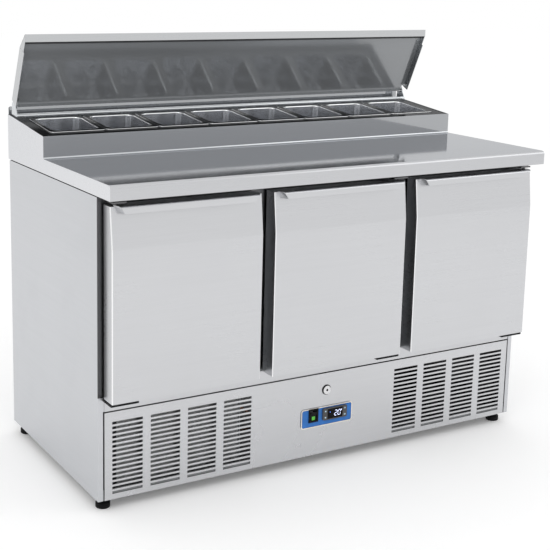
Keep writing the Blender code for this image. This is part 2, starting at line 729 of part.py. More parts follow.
def pan_deck(deck):
    edge = WORKTOP_WALL + FIT
    lean = (DECK_DROP + DECK_SHEET) * math.tan(DECK_SLOPE)
    outline = rectangle((-HALF + edge, edge), (HALF - edge, DECK_LENGTH - edge - lean))
    width, length = (size + 2 * PAN_CLEARANCE for size in PAN_BODY)
    holes = [rounded(x, PAN_MIDDLE, width, length, PAN_CORNER) for x in pan_places()]
    top = -DECK_DROP
    piece("pan_deck", plate([outline] + holes, top - DECK_SHEET, top, "Z"), "dark_steel", parent=deck)


def tapered(width, length, radius, low, high):
    """A rounded block that narrows towards its bottom."""
    mesh = plate([rounded(0, 0, width, length, radius)], low, high, "Z")
    for vertex in mesh.vertices:
        if vertex.co.z < (low + high) / 2:
            vertex.co.x *= PAN_TAPER
            vertex.co.y *= PAN_TAPER
    return mesh


def pans(deck):
    seat = FIT - DECK_DROP
    width, length = PAN_BODY
    inner = (width - 2 * PAN_WALL, length - 2 * PAN_WALL)
    for number, x in enumerate(pan_places(), 1):
        rim = rounded(0, 0, PAN_WIDTH, PAN_LENGTH, PAN_RIM)
        mesh = plate([rim], seat, seat + PAN_RIM_THICKNESS, "Z")
        pan = piece(f"pan_{number}", mesh, "polished_steel", parent=deck, location=(x, PAN_MIDDLE, 0))
        join(pan, tapered(width, length, PAN_CORNER, seat - PAN_DEPTH, seat + PAN_RIM_THICKNESS / 2))
        floor = seat - PAN_DEPTH + PAN_WALL
        cut(pan, tapered(*inner, PAN_CORNER - PAN_WALL, floor, seat + 2 * PAN_RIM_THICKNESS))


def hinge_rail(deck):
    """The rail behind the pans, with a bracket and pin at each end for the lid."""
    seat = FIT - DECK_DROP
    low = PIVOT_DECK - RAIL_FORWARD - RAIL_WIDTH
    high = PIVOT_DECK - RAIL_FORWARD
    bracket_outside = BRACKET_X + BRACKET_THICKNESS
    outline = [(low, seat), (high, seat)]
    outline += arc((high - RAIL_ROUND, seat + RAIL_HEIGHT - RAIL_ROUND), RAIL_ROUND, 0, 90, 4)
    outline += arc((low + RAIL_ROUND, seat + RAIL_HEIGHT - RAIL_ROUND), RAIL_ROUND, 90, 180, 4)
    half = bracket_outside - BRACKET_THICKNESS / 2
    rail = piece("lid_hinge_rail", plate([outline], -half, half, "X"), "polished_steel", parent=deck)
    boss = arc((PIVOT_DECK, PIVOT_HEIGHT), BRACKET_FOOT, 0, 180, 8)
    bracket = [(low, seat), (PIVOT_DECK + BRACKET_FOOT, seat)] + boss + [(low, seat + RAIL_HEIGHT / 2)]
    for side in (-1, 1):
        x = sorted((side * BRACKET_X, side * bracket_outside))
        join(rail, plate([bracket], x[0], x[1], "X"))
        tip = side * (BRACKET_X - 2 * LUG_THICKNESS)
        base = side * (BRACKET_X + BRACKET_THICKNESS / 2)
        join(rail, rod((tip, PIVOT_DECK, PIVOT_HEIGHT), (base, PIVOT_DECK, PIVOT_HEIGHT), LID_PIN_DIAMETER))


def lid(pivot):
    """The lid in its pivot's frame, where -Y runs forward along the closed lid."""
    line = [
        (-LID_REAR, -LID_REAR_DROP),
        (-LID_REAR, LID_TOP),
        (-LID_FLAT_END, LID_TOP),
        (-LID_NOSE, -LID_NOSE_DROP),
        (-LID_LIP_END, -LID_LIP_DROP),
    ]
    half = LID_WIDTH / 2
    narrow = half - LID_NOTCH_WIDTH
    skin = piece("lid_skin", plate([folded(line, SHEET)], -half, half, "X"), "steel", parent=pivot)
    skirt_low = -PIVOT_HEIGHT + LID_SKIRT_CLEARANCE
    for side in (-1, 1):
        x = sorted((side * half, side * (half - SHEET)))
        join(skin, box((x[0], -LID_FLAT_END, skirt_low), (x[1], -LID_NOTCH, LID_TOP - SHEET / 2)))
        notch = sorted((side * narrow, side * (half + SHEET)))
        cut(skin, box((notch[0], -LID_NOTCH, -2 * LID_LIP_DROP), (notch[1], LID_REAR, 2 * LID_LIP_DROP)))
    tail = LID_TOP - SHEET / 2
    lug = [(-LUG_TAIL, tail), (-LUG_TAIL, -LUG_RADIUS)] + arc((0, 0), LUG_RADIUS, 270, 450, 8)[1:]
    lug = [(y, min(z, tail)) for y, z in lug]
    for side in (-1, 1):
        x = sorted((side * narrow, side * (narrow - LUG_THICKNESS)))
        join(skin, plate([lug], x[0], x[1], "X"))
        bore = LID_PIN_DIAMETER + 2 * PIN_CLEARANCE
        cut(skin, rod((side * (narrow - 2 * LUG_THICKNESS), 0, 0), (side * half, 0, 0), bore))
    inside = half - SHEET - FIT
    rear = -LID_REAR - SHEET - FIT
    shoulder = narrow - LUG_THICKNESS - FIT
    step = -LUG_TAIL - LUG_THICKNESS
    panel = [(-inside, -LID_INNER_FRONT), (inside, -LID_INNER_FRONT), (inside, step), (shoulder, step)]
    panel += [(shoulder, rear), (-shoulder, rear), (-shoulder, step), (-inside, step)]
    mesh = plate([panel], -LID_INNER_DROP, -LID_INNER_DROP + SHEET, "Z")
    piece("lid_inner_panel", mesh, "dark_steel", parent=pivot)


def door(name, centre, side):
    x, y = door_pivot(centre, side)
    axis = empty(f"{name}_door_axis", (x, y, 0))
    left = centre - DOOR_WIDTH / 2 - x
    right = left + DOOR_WIDTH
    face = DOOR_FACE - y
    rear = DOOR_REAR - y
    top_face = face + DOOR_SETBACK
    section = [(face, DOOR_BOTTOM), (rear, DOOR_BOTTOM), (rear, DOOR_TOP), (top_face, DOOR_TOP)]
    section.append((face, DOOR_TOP - DOOR_BREAK_DROP))
    panel = piece(f"{name}_door_panel", plate([section], left, right, "X"), "steel", parent=axis)
    cut(panel, plate([offset(section, DOOR_WALL)], left + DOOR_WALL, right - DOOR_WALL, "X"))
    bore = HINGE_PIN_DIAMETER + 2 * PIN_CLEARANCE
    for z in (DOOR_BOTTOM, DOOR_TOP):
        cut(panel, rod((0, 0, z - 2 * DOOR_WALL), (0, 0, z + 2 * DOOR_WALL), bore))
    tip = top_face - HANDLE_REACH
    high = DOOR_TOP + FIT + HANDLE_SHEET
    bend = (tip + HANDLE_ROUND, high - HANDLE_ROUND)
    hook = [(top_face + HANDLE_SEAT, high)] + arc(bend, HANDLE_ROUND, 90, 180, 5)
    hook.append((tip, high - HANDLE_DROP))
    grip = plate([folded(hook, HANDLE_SHEET)], left + HANDLE_INSET, right - HANDLE_INSET, "X")
    piece(f"{name}_door_handle", grip, "steel", parent=axis)
    seal = (left + GASKET_INSET, DOOR_BOTTOM + GASKET_INSET), (right - GASKET_INSET, DOOR_TOP - GASKET_INSET)
    hole = offset(rectangle(*seal), GASKET_WIDTH)
    gasket = plate([rectangle(*seal), hole], rear + FIT, FRONT - GASKET_GAP - y, "Y")
    piece(f"{name}_door_gasket", gasket, "grey_rubber", parent=axis)


def lower_hinge(name, centre, side):
    """The plate under a door, screwed to the sill, with the pin that the door turns on."""
    x, y = door_pivot(centre, side)
    top = DOOR_BOTTOM - LOWER_HINGE_GAP
    outer = centre + side * DOOR_WIDTH / 2
    reach = sorted((outer, outer - side * LOWER_HINGE_LENGTH))
    mesh = box((reach[0], y - LUG_REACH, top - LOWER_HINGE_SHEET), (reach[1], FRONT - FIT, top))
    hinge = piece(f"{name}_lower_hinge", mesh, "black_paint")
    tip = DOOR_BOTTOM + HINGE_PIN_REACH
    join(hinge, rod((x, y, top - LOWER_HINGE_SHEET / 2), (x, y, tip), HINGE_PIN_DIAMETER))


def control_holes():
    """The openings that the switch and the thermostat pass through."""
    return [
        centred(SWITCH_X, SWITCH_Z, SWITCH_BODY[0] + 2 * FIT, SWITCH_BODY[1] + 2 * FIT),
        centred(THERMOSTAT_X, THERMOSTAT_Z, THERMOSTAT_BODY[0] + 2 * FIT, THERMOSTAT_BODY[1] + 2 * FIT),
    ]


def grille():
    sheet = rectangle((-FRAME_X, FOOT_HEIGHT), (FRAME_X, GRILLE_TOP))
    holes = control_holes() + [circle(LOCK_X, LOCK_Z, LOCK_NECK + 2 * FIT)]
    for side in (-1, 1):
        for column in range(SLOT_COLUMNS):
            for row in range(SLOT_ROWS):
                x = side * (SLOTS_X - column * SLOT_PITCH_X)
                z = FOOT_HEIGHT + SLOT_FIRST_UP + row * SLOT_PITCH_Z
                holes.append(centred(x, z, SLOT_LENGTH, SLOT_HEIGHT))
    piece("front_grille", plate([sheet] + holes, FRONT, FRONT + SHEET, "Y"), "steel")


def controls():
    outline = rounded(FASCIA_X, FASCIA_Z, FASCIA_WIDTH, FASCIA_HEIGHT, FASCIA_ROUND)
    piece("control_fascia", plate([outline] + control_holes(), FASCIA_FACE, FRONT - FIT, "Y"), "blue_plastic")
    switch()
    thermostat()
    lock()


def switch():
    front = FASCIA_FACE - FIT - SWITCH_RIM
    rim = centred(SWITCH_X, SWITCH_Z, SWITCH_WIDTH, SWITCH_HEIGHT)
    frame = piece("switch_frame", plate([rim], front, front + SWITCH_RIM, "Y"), "black_plastic")
    body = centred(SWITCH_X, SWITCH_Z, *SWITCH_BODY)
    join(frame, plate([body], front + SWITCH_RIM / 2, FRONT + SWITCH_DEPTH, "Y"))
    width, height = (size - 2 * SWITCH_WALL for size in SWITCH_BODY)
    mouth = centred(SWITCH_X, SWITCH_Z, width, height)
    cut(frame, plate([mouth], front - SWITCH_RIM, FRONT + 2 * SWITCH_DEPTH, "Y"))
    pivot_y = FRONT + ROCKER_PIVOT_DEPTH
    reach = pivot_y - front
    tall = (height / 2 - 2 * ROCKER_GAP) * math.cos(ROCKER_TILT)
    crown = reach - ROCKER_PROUD / 2
    section = [(-crown, 0), (-reach, -tall), (reach / 2, -tall / 2), (reach / 2, tall / 2), (-reach, tall)]
    half = width / 2 - ROCKER_GAP
    axis = empty("rocker_axis", (SWITCH_X, pivot_y, SWITCH_Z))
    key = plate([section], -half, half, "X")
    rocker = piece("power_rocker", key, "green_lens", parent=axis, turn_x=ROCKER_TILT)
    tip = half + ROCKER_GAP + SWITCH_WALL / 2
    join(rocker, rod((-tip, 0, 0), (tip, 0, 0), ROCKER_PIN_DIAMETER))
    past = width / 2 + 2 * SWITCH_WALL
    bore = ROCKER_PIN_DIAMETER + 2 * FIT
    cut(frame, rod((SWITCH_X - past, pivot_y, SWITCH_Z), (SWITCH_X + past, pivot_y, SWITCH_Z), bore))


def thermostat():
    front = FASCIA_FACE - FIT - THERMOSTAT_RIM
    rim = rounded(THERMOSTAT_X, THERMOSTAT_Z, THERMOSTAT_WIDTH, THERMOSTAT_HEIGHT, THERMOSTAT_ROUND)
    housing = piece("thermostat_housing", plate([rim], front, front + THERMOSTAT_RIM, "Y"), "grey_plastic")
    body = centred(THERMOSTAT_X, THERMOSTAT_Z, *THERMOSTAT_BODY)
    join(housing, plate([body], front + THERMOSTAT_RIM / 2, FRONT + THERMOSTAT_DEPTH, "Y"))
    recess = centred(THERMOSTAT_X, THERMOSTAT_Z, LENS_WIDTH + 2 * FIT, LENS_HEIGHT + 2 * FIT)
    cut(housing, plate([recess], front - THERMOSTAT_RIM, front + LENS_THICKNESS + FIT, "Y"))
    window = centred(THERMOSTAT_X, THERMOSTAT_Z, LENS_WIDTH, LENS_HEIGHT)
    piece("thermostat_lens", plate([window], front, front + LENS_THICKNESS, "Y"), "black_glass")
    key_front = front - BUTTON_PROUD
    for column, dx in (("left", -BUTTON_SPACING_X / 2), ("right", BUTTON_SPACING_X / 2)):
        for row, dz in (("lower", -BUTTON_SPACING_Z / 2), ("upper", BUTTON_SPACING_Z / 2)):
            x, z = THERMOSTAT_X + dx, THERMOSTAT_Z + dz
            pocket = centred(x, z, BUTTON_WIDTH + 2 * FIT, BUTTON_HEIGHT + 2 * FIT)
            depth = key_front + BUTTON_LENGTH + BUTTON_TRAVEL + FIT
            cut(housing, plate([pocket], front - THERMOSTAT_RIM, depth, "Y"))
            face = centred(x, z, BUTTON_WIDTH, BUTTON_HEIGHT)
            key = plate([face], key_front, key_front + BUTTON_LENGTH, "Y")
            piece(f"{column}_{row}_button", key, "grey_plastic")


def lock():
    """The lock of the grille panel, with the cam that its barrel turns behind the sill."""
    front = FRONT - LOCK_PROUD
    back = FRONT + LOCK_DEPTH
    head = rod((LOCK_X, front, LOCK_Z), (LOCK_X, FRONT - FIT, LOCK_Z), LOCK_DIAMETER, 24)
    body = piece("lock_body", head, "chrome")
    join(body, rod((LOCK_X, FRONT - LOCK_PROUD / 2, LOCK_Z), (LOCK_X, back, LOCK_Z), LOCK_NECK))
    bore = BARREL_DIAMETER + 2 * FIT
    cut(body, rod((LOCK_X, front - LOCK_PROUD, LOCK_Z), (LOCK_X, back + LOCK_DEPTH, LOCK_Z), bore))
    axis = empty("lock_axis", (LOCK_X, FRONT, LOCK_Z))
    cam_front = LOCK_DEPTH + FIT
    plug = rod((0, -LOCK_PROUD, 0), (0, cam_front + CAM_SHEET / 2, 0), BARREL_DIAMETER)
    barrel = piece("lock_barrel", plug, "chrome", parent=axis)
    reach = SILL_BOTTOM + CAM_OVERLAP - LOCK_Z
    cam = rectangle((-CAM_WIDTH / 2, -CAM_WIDTH / 2), (CAM_WIDTH / 2, reach))
    join(barrel, plate([cam], cam_front, cam_front + CAM_SHEET, "Y"))
    slot = centred(0, 0, KEYHOLE_WIDTH, KEYHOLE_HEIGHT)
    cut(barrel, plate([slot], -2 * LOCK_PROUD, LOCK_DEPTH / 2, "Y"))


def machine():
    floor = TRAY_TOP + FIT
    condenser_front = FRONT + CONDENSER_SETBACK
    condenser_back = condenser_front + CONDENSER_THICKNESS
    low = (CONDENSER_X - CONDENSER_WIDTH / 2, condenser_front)
    high = (CONDENSER_X + CONDENSER_WIDTH / 2, condenser_back)
    fins = comb(low, high, CONDENSER_FINS, FIN_THICKNESS, FIN_SPINE)
    piece("condenser", plate([fins], floor, floor + CONDENSER_HEIGHT, "Z"), "aluminium")
    fan(floor, condenser_back + FAN_FRAME_GAP)
    y = FRONT + COMPRESSOR_SETBACK
    half = COMPRESSOR_BASE / 2
    base = box((-half, -half, 0), (half, half, COMPRESSOR_BASE_SHEET))
    radius = COMPRESSOR_DIAMETER / 2
    shoulder = COMPRESSOR_HEIGHT - COMPRESSOR_DOME
    dome = arc((0, 0), 1, 90, 0, COMPRESSOR_DOME_STEPS)
    profile = [(0, COMPRESSOR_HEIGHT)]
    profile += [(radius * across, shoulder + COMPRESSOR_DOME * up) for across, up in dome[1:]]
    profile += [(radius, COMPRESSOR_BASE_SHEET / 2), (0, COMPRESSOR_BASE_SHEET / 2)]
    pot = turned("compressor", profile, "black_paint", location=(COMPRESSOR_X, y, floor))
    join(pot, base)
    pipe_z = TRAY_TOP + PIPE_UP
    start = (COMPRESSOR_X - radius - FIT, y, pipe_z)
    end_y = condenser_back - FIN_SPINE / 2
    run_x = high[0] + PIPE_RUN_GAP
    corners = [start, (run_x, y, pipe_z), (run_x, end_y, pipe_z), (high[0] + FIT, end_y, pipe_z)]
    tube("discharge_pipe", rounded_path(corners, PIPE_BEND), PIPE_DIAMETER, "copper")
    back = LINER_BACK - SHEET - FIT
    half = EVAPORATOR_WIDTH / 2
    fins = comb((-half, back - EVAPORATOR_THICKNESS), (half, back), EVAPORATOR_FINS, FIN_THICKNESS, FIN_SPINE)
    top = OPENING_TOP - EVAPORATOR_HEADROOM
    piece("evaporator", plate([fins], top - EVAPORATOR_HEIGHT, top, "Z"), "aluminium")


def fan(floor, front):
    """The condenser fan: its frame, the motor on a stand, and the blade on the motor's shaft."""
    left = CONDENSER_X - FAN_FRAME_WIDTH / 2
    right = CONDENSER_X + FAN_FRAME_WIDTH / 2
    mouth = circle(CONDENSER_X, FAN_Z, FAN_DIAMETER + 2 * FAN_CLEARANCE, 24)
    outline = rectangle((left, floor), (right, floor + CONDENSER_HEIGHT))
    piece("fan_frame", plate([outline, mouth], front, front + FAN_FRAME_SHEET, "Y"), "galvanised")
    hub_front = front + FAN_FRAME_SHEET + FAN_RUNNING_GAP
    hub_back = hub_front + FAN_HUB_LENGTH
    motor_front = hub_back + FIT
    centre = Vector((CONDENSER_X, 0, FAN_Z))
    along = Vector((0, 1, 0))
    casing = rod(centre + along * motor_front, centre + along * (motor_front + MOTOR_LENGTH), MOTOR_DIAMETER)
    motor = piece("fan_motor", casing, "black_paint")
    stand_low = (CONDENSER_X - MOTOR_STAND / 2, motor_front + FAN_CLEARANCE, floor)
    stand_high = (CONDENSER_X + MOTOR_STAND / 2, motor_front + MOTOR_LENGTH - FAN_CLEARANCE, FAN_Z)
    join(motor, box(stand_low, stand_high))
    shaft_start = centre + along * (hub_front + FAN_HUB_LENGTH / 4)
    join(motor, rod(shaft_start, centre + along * (motor_front + MOTOR_LENGTH / 2), FAN_SHAFT))
    axis = empty("fan_axis", (CONDENSER_X, hub_front, FAN_Z))
    blade = piece("fan_blade", rod((0, 0, 0), (0, FAN_HUB_LENGTH, 0), FAN_HUB), "aluminium", parent=axis)
    radial = (FAN_DIAMETER - FAN_HUB / 2) / 2
    for number in range(FAN_BLADES):
        half = Vector((FAN_BLADE_WIDTH, FAN_BLADE_SHEET, radial)) / 2
        vane = box(-half, half)
        reach = Matrix.Translation((0, FAN_HUB_LENGTH / 2, FAN_DIAMETER / 2 - radial / 2))
        spread = Matrix.Rotation(math.tau * number / FAN_BLADES, 4, "Y")
        vane.transform(spread @ reach @ Matrix.Rotation(FAN_PITCH, 4, "Z"))
        join(blade, vane)
    cut(blade, rod((0, FAN_HUB_LENGTH / 4 - FIT, 0), (0, 2 * FAN_HUB_LENGTH, 0), FAN_SHAFT + 2 * FIT))


def main():
    feet()
    carcass()
    cold_room()
    front_frame()
    mullions()
    shelves()
    worktop()
    deck = empty("deck_plane", (0, HOUSING_FRONT, DECK_FRONT_Z), DECK_SLOPE)
    pan_deck(deck)
    pans(deck)
    hinge_rail(deck)
    across = Vector((0, PIVOT_DECK, PIVOT_HEIGHT))
    place = Matrix.Rotation(DECK_SLOPE, 3, "X") @ across + Vector((0, HOUSING_FRONT, DECK_FRONT_Z))
    lid(empty("lid_axis", place, DECK_SLOPE - LID_OPEN))
    for name, centre, side in doors():
        door(name, centre, side)
        lower_hinge(name, centre, side)
    grille()
    controls()
    machine()


main()
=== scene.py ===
"""Looks of the sandwich prep table: fine pieces, finishes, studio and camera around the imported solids.

Metres, +Z up. The doors face -Y. Every fine piece takes its place from the solid that it stands for.
"""

import json
import math

import bmesh
import bpy
from mathutils import Matrix, Vector


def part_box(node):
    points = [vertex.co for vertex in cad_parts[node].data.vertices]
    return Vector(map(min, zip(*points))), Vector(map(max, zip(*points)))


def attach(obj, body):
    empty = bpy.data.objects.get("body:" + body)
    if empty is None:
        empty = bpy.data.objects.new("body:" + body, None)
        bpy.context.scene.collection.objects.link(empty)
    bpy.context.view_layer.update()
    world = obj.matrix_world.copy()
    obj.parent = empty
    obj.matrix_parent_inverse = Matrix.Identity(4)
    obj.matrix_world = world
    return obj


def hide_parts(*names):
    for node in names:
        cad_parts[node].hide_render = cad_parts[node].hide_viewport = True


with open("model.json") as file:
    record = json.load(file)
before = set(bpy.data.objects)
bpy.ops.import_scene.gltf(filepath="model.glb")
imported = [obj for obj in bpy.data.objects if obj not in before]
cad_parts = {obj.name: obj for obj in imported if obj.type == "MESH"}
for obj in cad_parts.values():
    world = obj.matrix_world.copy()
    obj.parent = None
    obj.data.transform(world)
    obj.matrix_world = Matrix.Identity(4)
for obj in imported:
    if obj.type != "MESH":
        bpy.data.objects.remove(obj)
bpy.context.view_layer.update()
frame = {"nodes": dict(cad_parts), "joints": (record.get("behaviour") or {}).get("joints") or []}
cad = frame["nodes"]
pivots = {joint["child"]: joint for joint in frame["joints"]}

SIDES = ("left", "middle", "right")
ENDS = (("left", -1), ("right", 1))
CORNERS = [f"{end}_{side}" for end in ("front", "rear") for side in ("left", "right")]
BUTTONS = [f"{side}_{row}" for side in ("left", "right") for row in ("lower", "upper")]
PAN_COUNT = 8

# What counts as one place, as straight or facing along an axis, and as flat, smooth or sharp
NEAR = 1e-5
STRAIGHT = 0.999
FACING = 0.9
FLAT = math.radians(1)
SMOOTH = math.radians(35)
SHARP = math.radians(40)

# Rounding of small edges
FINE_EASE = 0.0003
SMALL_EASE = 0.0004
SHEET_EASE = 0.0006
WIDE_EASE = 0.0008

# Camera at the photograph's viewing angle
CAMERA_PLACE = (-1.7775, -2.8066, 1.3414)
CAMERA_YAW = 29.72
CAMERA_PITCH = -10.75
CAMERA_ROLL = 0.99
IMAGE_SIZE = 550
FOCAL_PIXELS = 1175.4
SHIFT_PIXELS = (-50.0, -80.0)
SENSOR = 36.0


# Modelling steps

def only(obj):
    """Makes one object the selected and active one."""
    bpy.ops.object.select_all(action="DESELECT")
    obj.select_set(True)
    bpy.context.view_layer.objects.active = obj


def set_down(obj):
    """Moves an object's place and turn into its mesh."""
    only(obj)
    bpy.ops.object.transform_apply(location=True, rotation=True, scale=True)
    return obj


def block(name, low, high):
    """A box between two corners, to be shaped further."""
    low, high = Vector(low), Vector(high)
    bpy.ops.object.select_all(action="DESELECT")
    bpy.ops.mesh.primitive_cube_add(size=1, location=(low + high) / 2)
    obj = bpy.context.object
    obj.name = name
    obj.scale = high - low
    return set_down(obj)


def rod(name, start, end, radius, sides=32):
    """A round bar between two points, to be shaped further."""
    start, end = Vector(start), Vector(end)
    run = end - start
    turn = run.to_track_quat("Z", "Y").to_euler()
    bpy.ops.object.select_all(action="DESELECT")
    bpy.ops.mesh.primitive_cylinder_add(
        vertices=sides, radius=radius, depth=run.length, location=(start + end) / 2, rotation=turn
    )
    obj = bpy.context.object
    obj.name = name
    return set_down(obj)


def pick(obj, kind, test):
    """Opens a mesh with the faces, edges or corners that pass a test selected."""
    only(obj)
    bpy.ops.object.mode_set(mode="EDIT")
    bpy.ops.mesh.select_mode(type=kind)
    bpy.ops.mesh.select_all(action="DESELECT")
    mesh = bmesh.from_edit_mesh(obj.data)
    mesh.normal_update()
    for item in {"FACE": mesh.faces, "EDGE": mesh.edges, "VERT": mesh.verts}[kind]:
        if test(item):
            item.select_set(True)
    mesh.select_flush_mode()
    bmesh.update_edit_mesh(obj.data)


def close():
    bpy.ops.object.mode_set(mode="OBJECT")


def edit(obj, kind, test, step, **settings):
    """One modelling step on what passes a test."""
    pick(obj, kind, test)
    step(**settings)
    close()


def whole(item):
    """A test that everything passes."""
    return True


def mid(edge):
    return (edge.verts[0].co + edge.verts[1].co) / 2


def runs(edge, axis):
    """Whether an edge runs along one axis."""
    run = (edge.verts[1].co - edge.verts[0].co).normalized()
    return abs(run["XYZ".index(axis)]) > STRAIGHT


def faces_front(face):
    return face.normal.y < -FACING


def faces_up(face):
    return face.normal.z > FACING


def between(edge, test):
    """Whether an edge lies between a face that passes a test and one that doesn't."""
    passed = [test(face) for face in edge.link_faces]
    return len(passed) == 2 and passed[0] != passed[1]


def ease(obj, width, segments, test, profile=0.5):
    """Rounds the edges that pass a test."""
    edit(obj, "EDGE", test, bpy.ops.mesh.bevel, offset=width, segments=segments, profile=profile,
         affect="EDGES", clamp_overlap=True)


def open_ring(obj, width):
    """Makes a plate that faces the front a ring of some width."""
    pick(obj, "FACE", lambda face: abs(face.normal.y) > FACING)
    bpy.ops.mesh.inset(thickness=width)
    bpy.ops.mesh.bridge_edge_loops()
    close()


def shape(obj, kind, **settings):
    """Adds one modifier and applies it."""
    only(obj)
    modifier = obj.modifiers.new(kind.lower(), kind)
    for key, value in settings.items():
        setattr(modifier, key, value)
    bpy.ops.object.modifier_apply(modifier=modifier.name)


def soft_edges(obj, width, segments=2):
    shape(obj, "BEVEL", width=width, segments=segments, limit_method="ANGLE", angle_limit=SHARP)


def in_a_row(obj, count, step):
    shape(obj, "ARRAY", count=count, use_relative_offset=False, use_constant_offset=True,
          constant_offset_displace=step)


def cut_out(obj, cutter):
    """Takes one shape out of another."""
    shape(obj, "BOOLEAN", operation="DIFFERENCE", solver="EXACT", object=cutter)
    bpy.data.objects.remove(cutter)


def drawn(name, points):
    """A line drawn from point to point, left open for editing."""
    bpy.ops.object.select_all(action="DESELECT")
    bpy.ops.mesh.primitive_plane_add(size=0.001)
    obj = bpy.context.object
    obj.name = name
    bpy.ops.object.mode_set(mode="EDIT")
    bpy.ops.mesh.select_mode(type="VERT")
    bpy.ops.mesh.select_all(action="SELECT")
    bpy.ops.mesh.merge(type="CENTER")
    bpy.ops.transform.translate(value=points[0])
    for here, there in zip(points, points[1:]):
        step = Vector(there) - Vector(here)
        bpy.ops.mesh.extrude_vertices_move(TRANSFORM_OT_translate={"value": step})
    bpy.ops.mesh.select_mode(type="EDGE")
    bpy.ops.mesh.select_all(action="SELECT")
    return obj


def folded_sheet(name, left, right, line, facing):
    """An open sheet folded along a line of (y, z) points, with its first face turned one way."""
    obj = drawn(name, [(left, y, z) for y, z in line])
    bpy.ops.mesh.extrude_edges_move(TRANSFORM_OT_translate={"value": (right - left, 0, 0)})
    bpy.ops.mesh.select_all(action="SELECT")
    bpy.ops.mesh.normals_make_consistent(inside=False)
    mesh = bmesh.from_edit_mesh(obj.data)
    mesh.normal_update()
    mesh.faces.ensure_lookup_table()
    if mesh.faces[0].normal.dot(Vector(facing)) < 0:
        bpy.ops.mesh.flip_normals()
    close()
    return obj


def turned(name, profile, centre=(0, 0, 0), steps=40):
    """A round piece spun about an upright axis from a line of (radius, height) points."""
    x, y, z = centre
    obj = drawn(name, [(x + radius, y, z + height) for radius, height in profile])
    bpy.ops.mesh.spin(steps=steps, angle=math.tau, center=centre, axis=(0, 0, 1))
    bpy.ops.mesh.select_all(action="SELECT")
    bpy.ops.mesh.remove_doubles(threshold=NEAR)
    bpy.ops.mesh.normals_make_consistent(inside=False)
    close()
    return obj


def joined(name, pieces):
    """Several shapes made one object."""
    bpy.ops.object.select_all(action="DESELECT")
    for obj in pieces:
        obj.select_set(True)
    bpy.context.view_layer.objects.active = pieces[0]
    bpy.ops.object.join()
    pieces[0].name = name
    return pieces[0]


def copied(obj, name, place):
    """A copy with its own mesh, set down somewhere else."""
    only(obj)
    bpy.ops.object.duplicate(linked=False)
    twin = bpy.context.object
    twin.name = name
    twin.matrix_world = place
    return set_down(twin)


def from_solid(node_name, name):
    """A copy of a solid's mesh with its triangles merged into whole faces, to be shaped further."""
    only(cad[node_name])
    bpy.ops.object.duplicate(linked=False)
    obj = bpy.context.object
    obj.name = name
    obj.parent = None
    obj.matrix_world = Matrix()
    obj.data.materials.clear()
    bpy.ops.mesh.customdata_custom_splitnormals_clear()
    pick(obj, "FACE", whole)
    bpy.ops.mesh.remove_doubles(threshold=NEAR)
    bpy.ops.mesh.dissolve_limited(angle_limit=FLAT)
    bpy.ops.mesh.normals_make_consistent(inside=False)
    close()
    return obj


def settle(obj, body, slot, finish, *replaced):
    """Gives a finished piece its shading, finish and body."""
    only(obj)
    bpy.ops.object.shade_smooth_by_angle(angle=SMOOTH)
    shape(obj, "WEIGHTED_NORMAL", weight=100, keep_sharp=True)
    if not obj.data.materials:
        obj.data.materials.append(finish)
    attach(obj, body)
    if replaced:
        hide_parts(*replaced)


def set_out(first, places, slot, finish):
    """Copies of one shape, by name, body, place and the solid that each stands for. The first one goes."""
    for name, body, place, *replaced in places:
        settle(copied(first, name, place), body, slot, finish, *replaced)
    bpy.data.objects.remove(first)


def dress(node_name, finish, rounding):
    """A solid that stays: its finish, and its edges eased by live modifiers where it is thick enough."""
    obj = cad[node_name]
    obj.data.materials.clear()
    obj.data.materials.append(finish)
    if not rounding:
        return
    only(obj)
    bpy.ops.object.shade_smooth()
    obj.modifiers.new("weld", "WELD").merge_threshold = NEAR
    flat = obj.modifiers.new("flat", "DECIMATE")
    flat.decimate_type = "DISSOLVE"
    flat.angle_limit = FLAT
    soft = obj.modifiers.new("ease", "BEVEL")
    soft.width = rounding
    soft.segments = 3
    soft.limit_method = "ANGLE"
    soft.angle_limit = SHARP
    obj.modifiers.new("split", "EDGE_SPLIT").split_angle = SMOOTH
    obj.modifiers.new("flats", "WEIGHTED_NORMAL").weight = 100


# Finishes

# Where one finish, or one patch of painted shade or highlight, ends on a piece and the next begins
WORKTOP_NOSE = -0.342
WORKTOP_ENDS = 0.6818
SIDE_FOLD_BACK = -0.2670
FRAME_BACK = -0.2570
GRILLE_FACE = -0.2689
OPENING_BOTTOM = 0.3035
DECK_FRONT = Vector((0, 0.077, 0.910))
PAN_FLAT_START = 0.0012
PAN_WELL_START = -0.0015
ZONE_EDGE = 0.0005

# How far the brushed lines are drawn out, how deep they are and how much of the tone broad bands make
ALONG_X = (7.0, 620.0, 620.0)
ALONG_Y = (620.0, 7.0, 620.0)
ALONG_Z = (620.0, 620.0, 7.0)
BRUSH_DEPTH = 0.00002
BRUSH_CONTRAST = 0.06
BAND_SHARE = 0.3
RELIEF = 0.2

# Scales of the wiped patches, and the roughness that they or the brushed lines vary between
SHEET_PATCHES = 3.5
WORKTOP_PATCHES = 3.0
PAN_PATCHES = 12.0
ZINC_PATCHES = 9.0
PLASTIC_PATCHES = 14.0
LAMP_PATCHES = 120.0
GLOSS_SPREAD = 0.04
WORKTOP_POLISH = (0.06, 0.08)
WORKTOP_BRUSHED = (0.24, 0.32)
OPENING_BRUSHED = (0.32, 0.38)
GRILLE_BRUSHED = (0.26, 0.32)
PAN_SATIN = (0.18, 0.22)
PAN_POLISH = (0.09, 0.12)
ZINC_SPREAD = 0.15
PLASTIC_SPREAD = 0.08

# How much darker and lighter the patches of plastic and lamps are, and how rough a lamp's cover is
PLASTIC_DARK = 0.86
PLASTIC_LIGHT = 1.12
PLASTIC_LIFT = 0.002
LAMP_DARK = 0.8
LAMP_ROUGHNESS = 0.35

